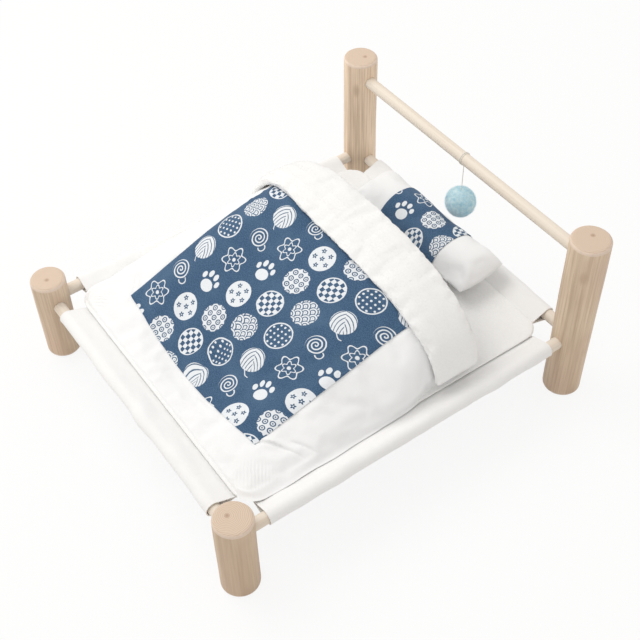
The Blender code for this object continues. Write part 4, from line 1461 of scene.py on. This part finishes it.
# %% [markdown]
# ## Cuff
# The mouth is turned back into a thick plush roll. Its section is a soft-cornered band, carried along the
# arch from one end to the other and rounded off at both. It is left to settle too, held where it is sewn
# to the quilt, so that its face gets shallow dents.

# %% Cuff
CUFF_FOOT_Y = 0.045
CUFF_HEAD_Y = 0.108
CUFF_INSIDE = 0.0080
CUFF_OUTSIDE = 0.0182
CUFF_LIFT = 0.014
CUFF_STATIONS = 130
CUFF_SAMPLES = 400
CUFF_RING = 44
CUFF_ROUNDING = 0.006
CUFF_SQUARENESS = (0.35, 0.6)
CUFF_LUMPS = 0.0014
CUFF_CLOTH_STEP = 0.0035
CUFF_PINS = (0.7, 0.02)
CUFF_SPARE = 0.02
CUFF_AIR = 1.0
CUFF_LIMIT = 0.003
mouth_y = (CUFF_FOOT_Y + CUFF_HEAD_Y) / 2


def cuff_point(angle, turn, shrink):
    """A point of the roll: turn goes once round its section, and shrink closes its ends."""
    half_wide = (CUFF_HEAD_Y - CUFF_FOOT_Y) / 2
    half_thick = (CUFF_OUTSIDE - CUFF_INSIDE) / 2
    wide = half_wide * signed_power(math.cos(turn), CUFF_SQUARENESS[0])
    wide -= 0.004 * (1 - shrink) * math.cos(turn)
    deep = half_thick * signed_power(math.sin(turn), CUFF_SQUARENESS[1]) * shrink
    lump = noise.noise(Vector((angle * 3.2, wide * 22, math.copysign(2.0, deep)))) * CUFF_LUMPS
    away = (CUFF_INSIDE + CUFF_OUTSIDE) / 2 + deep + max(0.0, deep) / half_thick * lump
    return quilt_at(angle, mouth_y + wide, away)


end_angle = math.asin((CUFF_LIFT / quilt_rise(mouth_y)) ** (1 / arch_power(mouth_y)))
samples = np.linspace(math.pi - end_angle, end_angle, CUFF_SAMPLES)
run = run_along([quilt_inside(float(angle), mouth_y) for angle in samples])
near_ends = CUFF_ROUNDING * (1 - np.cos(np.linspace(0, math.pi / 2, 6)))
inner_stations = np.linspace(CUFF_ROUNDING, run[-1] - CUFF_ROUNDING, CUFF_STATIONS)
stations = [float(s) for s in (*near_ends[:-1], *inner_stations, *(run[-1] - near_ends[-2::-1]))]
tube = []
for station in stations:
    angle = float(np.interp(station, run, samples))
    to_end = min(station, run[-1] - station, CUFF_ROUNDING) / CUFF_ROUNDING
    shrink = max(0.02, math.sqrt(1 - (1 - to_end) ** 2))
    tube.append([cuff_point(angle, math.tau * i / CUFF_RING, shrink) for i in range(CUFF_RING)])
cloth = [[(station, j * CUFF_CLOTH_STEP) for j in range(CUFF_RING + 1)] for station in stations]
shape = bmesh.new()
shape.loops.layers.uv.new("cloth")
rings = [[(i, j), (i + 1, j), (i + 1, j + 1), (i, j + 1)] for i, j in grid_cells(cloth)]
verts = add_faces(shape, tube, cloth, rings)
shape.faces.new(verts[0])
shape.faces.new(reversed(verts[-1]))
bmesh.ops.recalc_face_normals(shape, faces=shape.faces)
pins = [CUFF_PINS[0] if i % CUFF_RING > CUFF_RING / 2 else CUFF_PINS[1] for i in range(len(shape.verts))]
settle(shape, pins, CUFF_SPARE, CUFF_AIR, CUFF_LIMIT, seed=4.0)
cuff = piece("cuff", shape, white_plush, "sleeping_bag", "quilt_cuff", slot="plush", smooth=80)
print("cuff", len(cuff.data.polygons), "faces, run", round(float(run[-1]), 4))

# %% [markdown]
# ## Pile
# The pile of plush shows along its outline and where it meets the print. It is a few ten thousand fibres,
# each one thin triangle that leans its own way, rooted at random places of the cuff and of the pad's top.

# %% Plush pile
PILE_WIDTH = 0.00022
CUFF_PILE_LENGTH = 0.0016
PAD_PILE_LENGTH = CUFF_PILE_LENGTH * 0.7
CUFF_PILE = 26000
PAD_PILE = 22000
LEAN = 0.9


def fibres_on(mesh, count, length, width, seed, upward=-1.0):
    """Places count fibres on the faces of a mesh whose normals point above a limit, by their area."""
    dice = random.Random(seed)
    faces = [face for face in mesh.polygons if face.normal.z > upward]
    points = []
    for face in dice.choices(faces, weights=[face.area for face in faces], k=count):
        corners = [mesh.vertices[i].co for i in face.vertices[:3]]
        a, b = sorted((dice.random(), dice.random()))
        root = corners[0] * a + corners[1] * (b - a) + corners[2] * (1 - b)
        lean = Vector([dice.uniform(-1, 1) for _ in range(3)]) * LEAN
        tip = root + (face.normal + lean).normalized() * length * dice.uniform(0.4, 1.0)
        side = (tip - root).orthogonal().normalized() * width / 2
        points += [root - side, root + side, tip]
    pile = bpy.data.meshes.new("pile")
    pile.from_pydata(points, [], [(i, i + 1, i + 2) for i in range(0, len(points), 3)])
    return pile


cuff_pile = fibres_on(cuff.data, CUFF_PILE, CUFF_PILE_LENGTH, PILE_WIDTH, 11)
dressed("cuff_pile", cuff_pile, white_plush, "sleeping_bag", slot="plush")
pad_pile = fibres_on(pad.data, PAD_PILE, PAD_PILE_LENGTH, PILE_WIDTH, 12, upward=0.1)
dressed("pad_pile", pad_pile, white_plush, "sleeping_bag", slot="plush")
print("pile", len(cuff_pile.polygons) + len(pad_pile.polygons), "fibres")

# %% [markdown]
# ## Pillow
# Two rectangles of cotton sewn together round their edge and stuffed. Air pressure in the simulation fills
# it, the sewing draws its edge in, and the corners stay as points. The printed band is cut from the same
# settled skin.

# %% Pillow
PILLOW_COLUMNS = 92
PILLOW_ROWS = 34
PILLOW_TILT = math.radians(5)
PILLOW_SKIN = 0.985
END_BOW = 0.02
SIDE_BOW = 0.05
RISE_RIGHT = 0.0050
RISE_LEFT = 0.0020
PILLOW_LIFT = 0.0020
PILLOW_PLUMP = 1.08
CROWN_BACK = 0.20
PILLOW_SPARE = 0.004
PILLOW_AIR = 2.5
PILLOW_LIMIT = 0.004
SMOOTHINGS = 6
BAND_PROUD = 0.0006
BAND_CLOTH = 0.0007
pillow_low, pillow_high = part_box("pillow")
band_low, band_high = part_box("pillow_band")
pillow_middle, pillow_half = (pillow_low + pillow_high) / 2, (pillow_high - pillow_low) / 2
pillow_turn = Matrix.Rotation(PILLOW_TILT, 3, "X")


def pillow_skin(along, across, side):
    """A point of the upper (1) or lower (-1) skin before it settles. along and across run from -1 to 1."""
    skewed = across - side * CROWN_BACK * (1 - across**2)
    fill = (1 - abs(along) ** 8) ** 0.5 * (1 - abs(skewed) ** 2.6) ** 0.5
    pinch = 1 + END_BOW * (1 - abs(across) ** 2) * abs(along) ** 6
    x = pillow_half.x * PILLOW_SKIN * along * pinch
    y = pillow_half.y * PILLOW_SKIN * across * (1 - SIDE_BOW * (1 - abs(along) ** 2))
    place = pillow_middle + pillow_turn @ Vector((x, y, side * pillow_half.z * PILLOW_PLUMP * fill))
    rise = RISE_RIGHT * smoothstep(place.x, 0.015, 0.080) + RISE_LEFT * smoothstep(-place.x, 0.030, 0.090)
    place += Vector((0, 0.30, 1.0)) * rise * (0.35 + 0.65 * (across + 1) / 2)
    return place + UP * PILLOW_LIFT


def eased(count):
    """Places from -1 to 1, closer together near both ends."""
    quarter = math.pi / 2
    return [math.sin(t) * 0.6 + t / quarter * 0.4 for t in np.linspace(-quarter, quarter, count)]


def on_seam(vertex):
    """True where an upper and a lower face meet."""
    return any(len({face.normal.z > 0 for face in edge.link_faces}) == 2 for edge in vertex.link_edges)


alongs, acrosses = eased(PILLOW_COLUMNS), eased(PILLOW_ROWS)
top, bottom = ([[pillow_skin(a, b, side) for a in alongs] for b in acrosses] for side in (1, -1))
cloth = [[(a * pillow_half.x, b * pillow_half.y) for a in alongs] for b in acrosses]
shape = shell_shape(top, bottom, cloth)
drawn = [float(on_seam(vertex)) for vertex in shape.verts]
pins = [0.05 + 0.3 * share for share in drawn]
settle(shape, pins, PILLOW_SPARE, PILLOW_AIR, PILLOW_LIMIT, drawn=drawn, seed=8.0)
inner = [vertex for vertex, share in zip(shape.verts, drawn) if not share]
for _ in range(SMOOTHINGS):
    bmesh.ops.smooth_vert(shape, verts=inner, factor=0.5, use_axis_x=True, use_axis_y=True, use_axis_z=True)
shape.normal_update()
print("pillow's volume", round(shape.calc_volume(signed=True) * 1e6), "ml")
band = shape.copy()
pillow = piece("pillow_cover", shape, white_cotton, "pillow", "pillow", slot="quilt_cotton", smooth=75)

for x, outward in ((band_low.x, -1), (band_high.x, 1)):
    geom = band.verts[:] + band.edges[:] + band.faces[:]
    cut = {"plane_co": (x, 0, 0), "plane_no": (outward, 0, 0), "clear_outer": True}
    bmesh.ops.bisect_plane(band, geom=geom, **cut)
band.normal_update()
for vertex in band.verts:
    vertex.co += vertex.normal * BAND_PROUD
band_mesh = remade(band, 0, BAND_CLOTH, 1.0)
made = dressed("pillow_print", band_mesh, blue_print, "pillow", "pillow_band", slot="printed_cotton")
print("pillow", len(pillow.data.polygons), "band", len(made.data.polygons), "faces")

# %% [markdown]
# ## Toy
# A felted ball hangs from a thread that is looped twice round the upper rail and knotted under it. Short
# fibres stand out all over the ball. Each is one thin triangle, which is enough at this size.

# %% Toy
HANG = Vector((0.0, 0.238, 0.2086))
THREAD = 0.001
WRAPS = 2
WRAP_PITCH = 0.0022
WRAP_POINTS = 90
CORD_PARTS = 12
KNOT_RADIUS = 0.0014
KNOT_TO_CORD = 0.0012
CORD_IN_BALL = 0.0005
BALL_RADIUS = 0.0188
BALL_DROP = 0.0012
WOOL_PALE = (0.800, 0.940, 0.970)
WOOL_DEEP = (0.440, 0.730, 0.850)
STRING_WHITE = (0.86, 0.84, 0.78)
FIBRES = 18000
FIBRE_LENGTH = 0.0028
FIBRE_WIDTH = 0.00016
string = Finish("string", 0.8, Base_Color=STRING_WHITE, Specular_IOR_Level=0.2)
ball_low, ball_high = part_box("pompom")
ball_middle = (ball_low + ball_high) / 2 - UP * BALL_DROP


def wool_finish():
    finish = Finish("wool", 0.95, Specular_IOR_Level=0.05, Sheen_Weight=0.5, Sheen_Roughness=0.6)
    place = finish.place(ball_middle)
    tufts = finish.noise(place, 260.0, 3.0, 0.6)
    patches = finish.noise(place, 55.0)
    shade = tufts.between(0.35, 0.68) * 0.6 + patches.between(0.35, 0.7) * 0.4
    finish.colour(finish.mix(shade, WOOL_PALE, WOOL_DEEP))
    finish.bump(tufts, 0.0009, 0.8)
    return finish


def thread_curve(name, path, body, *nodes):
    curve = bpy.data.curves.new(name, "CURVE")
    curve.dimensions = "3D"
    curve.bevel_depth = THREAD / 2
    curve.bevel_resolution = 3
    curve.use_fill_caps = True
    spline = curve.splines.new("POLY")
    spline.points.add(len(path) - 1)
    for point, place in zip(spline.points, path):
        point.co = (*place, 1.0)
    obj = linked(name, curve)
    curve.materials.append(string.material)
    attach(obj, body)
    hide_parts(*nodes)
    return obj


wool = wool_finish()
shape = bmesh.new()
bmesh.ops.create_icosphere(shape, subdivisions=5, radius=BALL_RADIUS)
for vertex in shape.verts:
    out = vertex.co.normalized()
    vertex.co += out * (0.0007 * noise.noise(out * 5) + 0.0004 * noise.noise(out * 16))
bmesh.ops.translate(shape, vec=ball_middle, verts=shape.verts)
ball = piece("pompom_ball", shape, wool, "toy", "pompom", slot="wool")
fuzz = fibres_on(ball.data, FIBRES, FIBRE_LENGTH, FIBRE_WIDTH, 7)
dressed("pompom_fuzz", fuzz, wool, "toy", slot="wool")

toy_rail_height = rails["toy_rail"][0].z
wrap_radius = rails["toy_rail"][2] + THREAD / 2
wraps = []
for t in np.linspace(0.0, WRAPS * math.tau, WRAP_POINTS):
    aside = WRAP_PITCH * (t / math.tau - WRAPS / 2)
    up = toy_rail_height - wrap_radius * math.cos(t)
    wraps.append(Vector((HANG.x + aside, HANG.y + wrap_radius * math.sin(t), up)))
thread_curve("toy_wraps", wraps, "toy_loop", "toy_loop")
shape = bmesh.new()
bmesh.ops.create_icosphere(shape, subdivisions=3, radius=KNOT_RADIUS)
bmesh.ops.translate(shape, vec=HANG, verts=shape.verts)
piece("knot", shape, string, "toy_knot", "toy_knot", slot="string")
cord_top = HANG - UP * KNOT_TO_CORD
cord_end = Vector((HANG.x, HANG.y, ball_middle.z + BALL_RADIUS - CORD_IN_BALL))
cord_path = [cord_top.lerp(cord_end, i / CORD_PARTS) for i in range(CORD_PARTS + 1)]
cord = thread_curve("hanging_thread", cord_path, "toy", "toy_cord")
print("toy hangs", round((cord_end - cord_top).length, 4), "m")
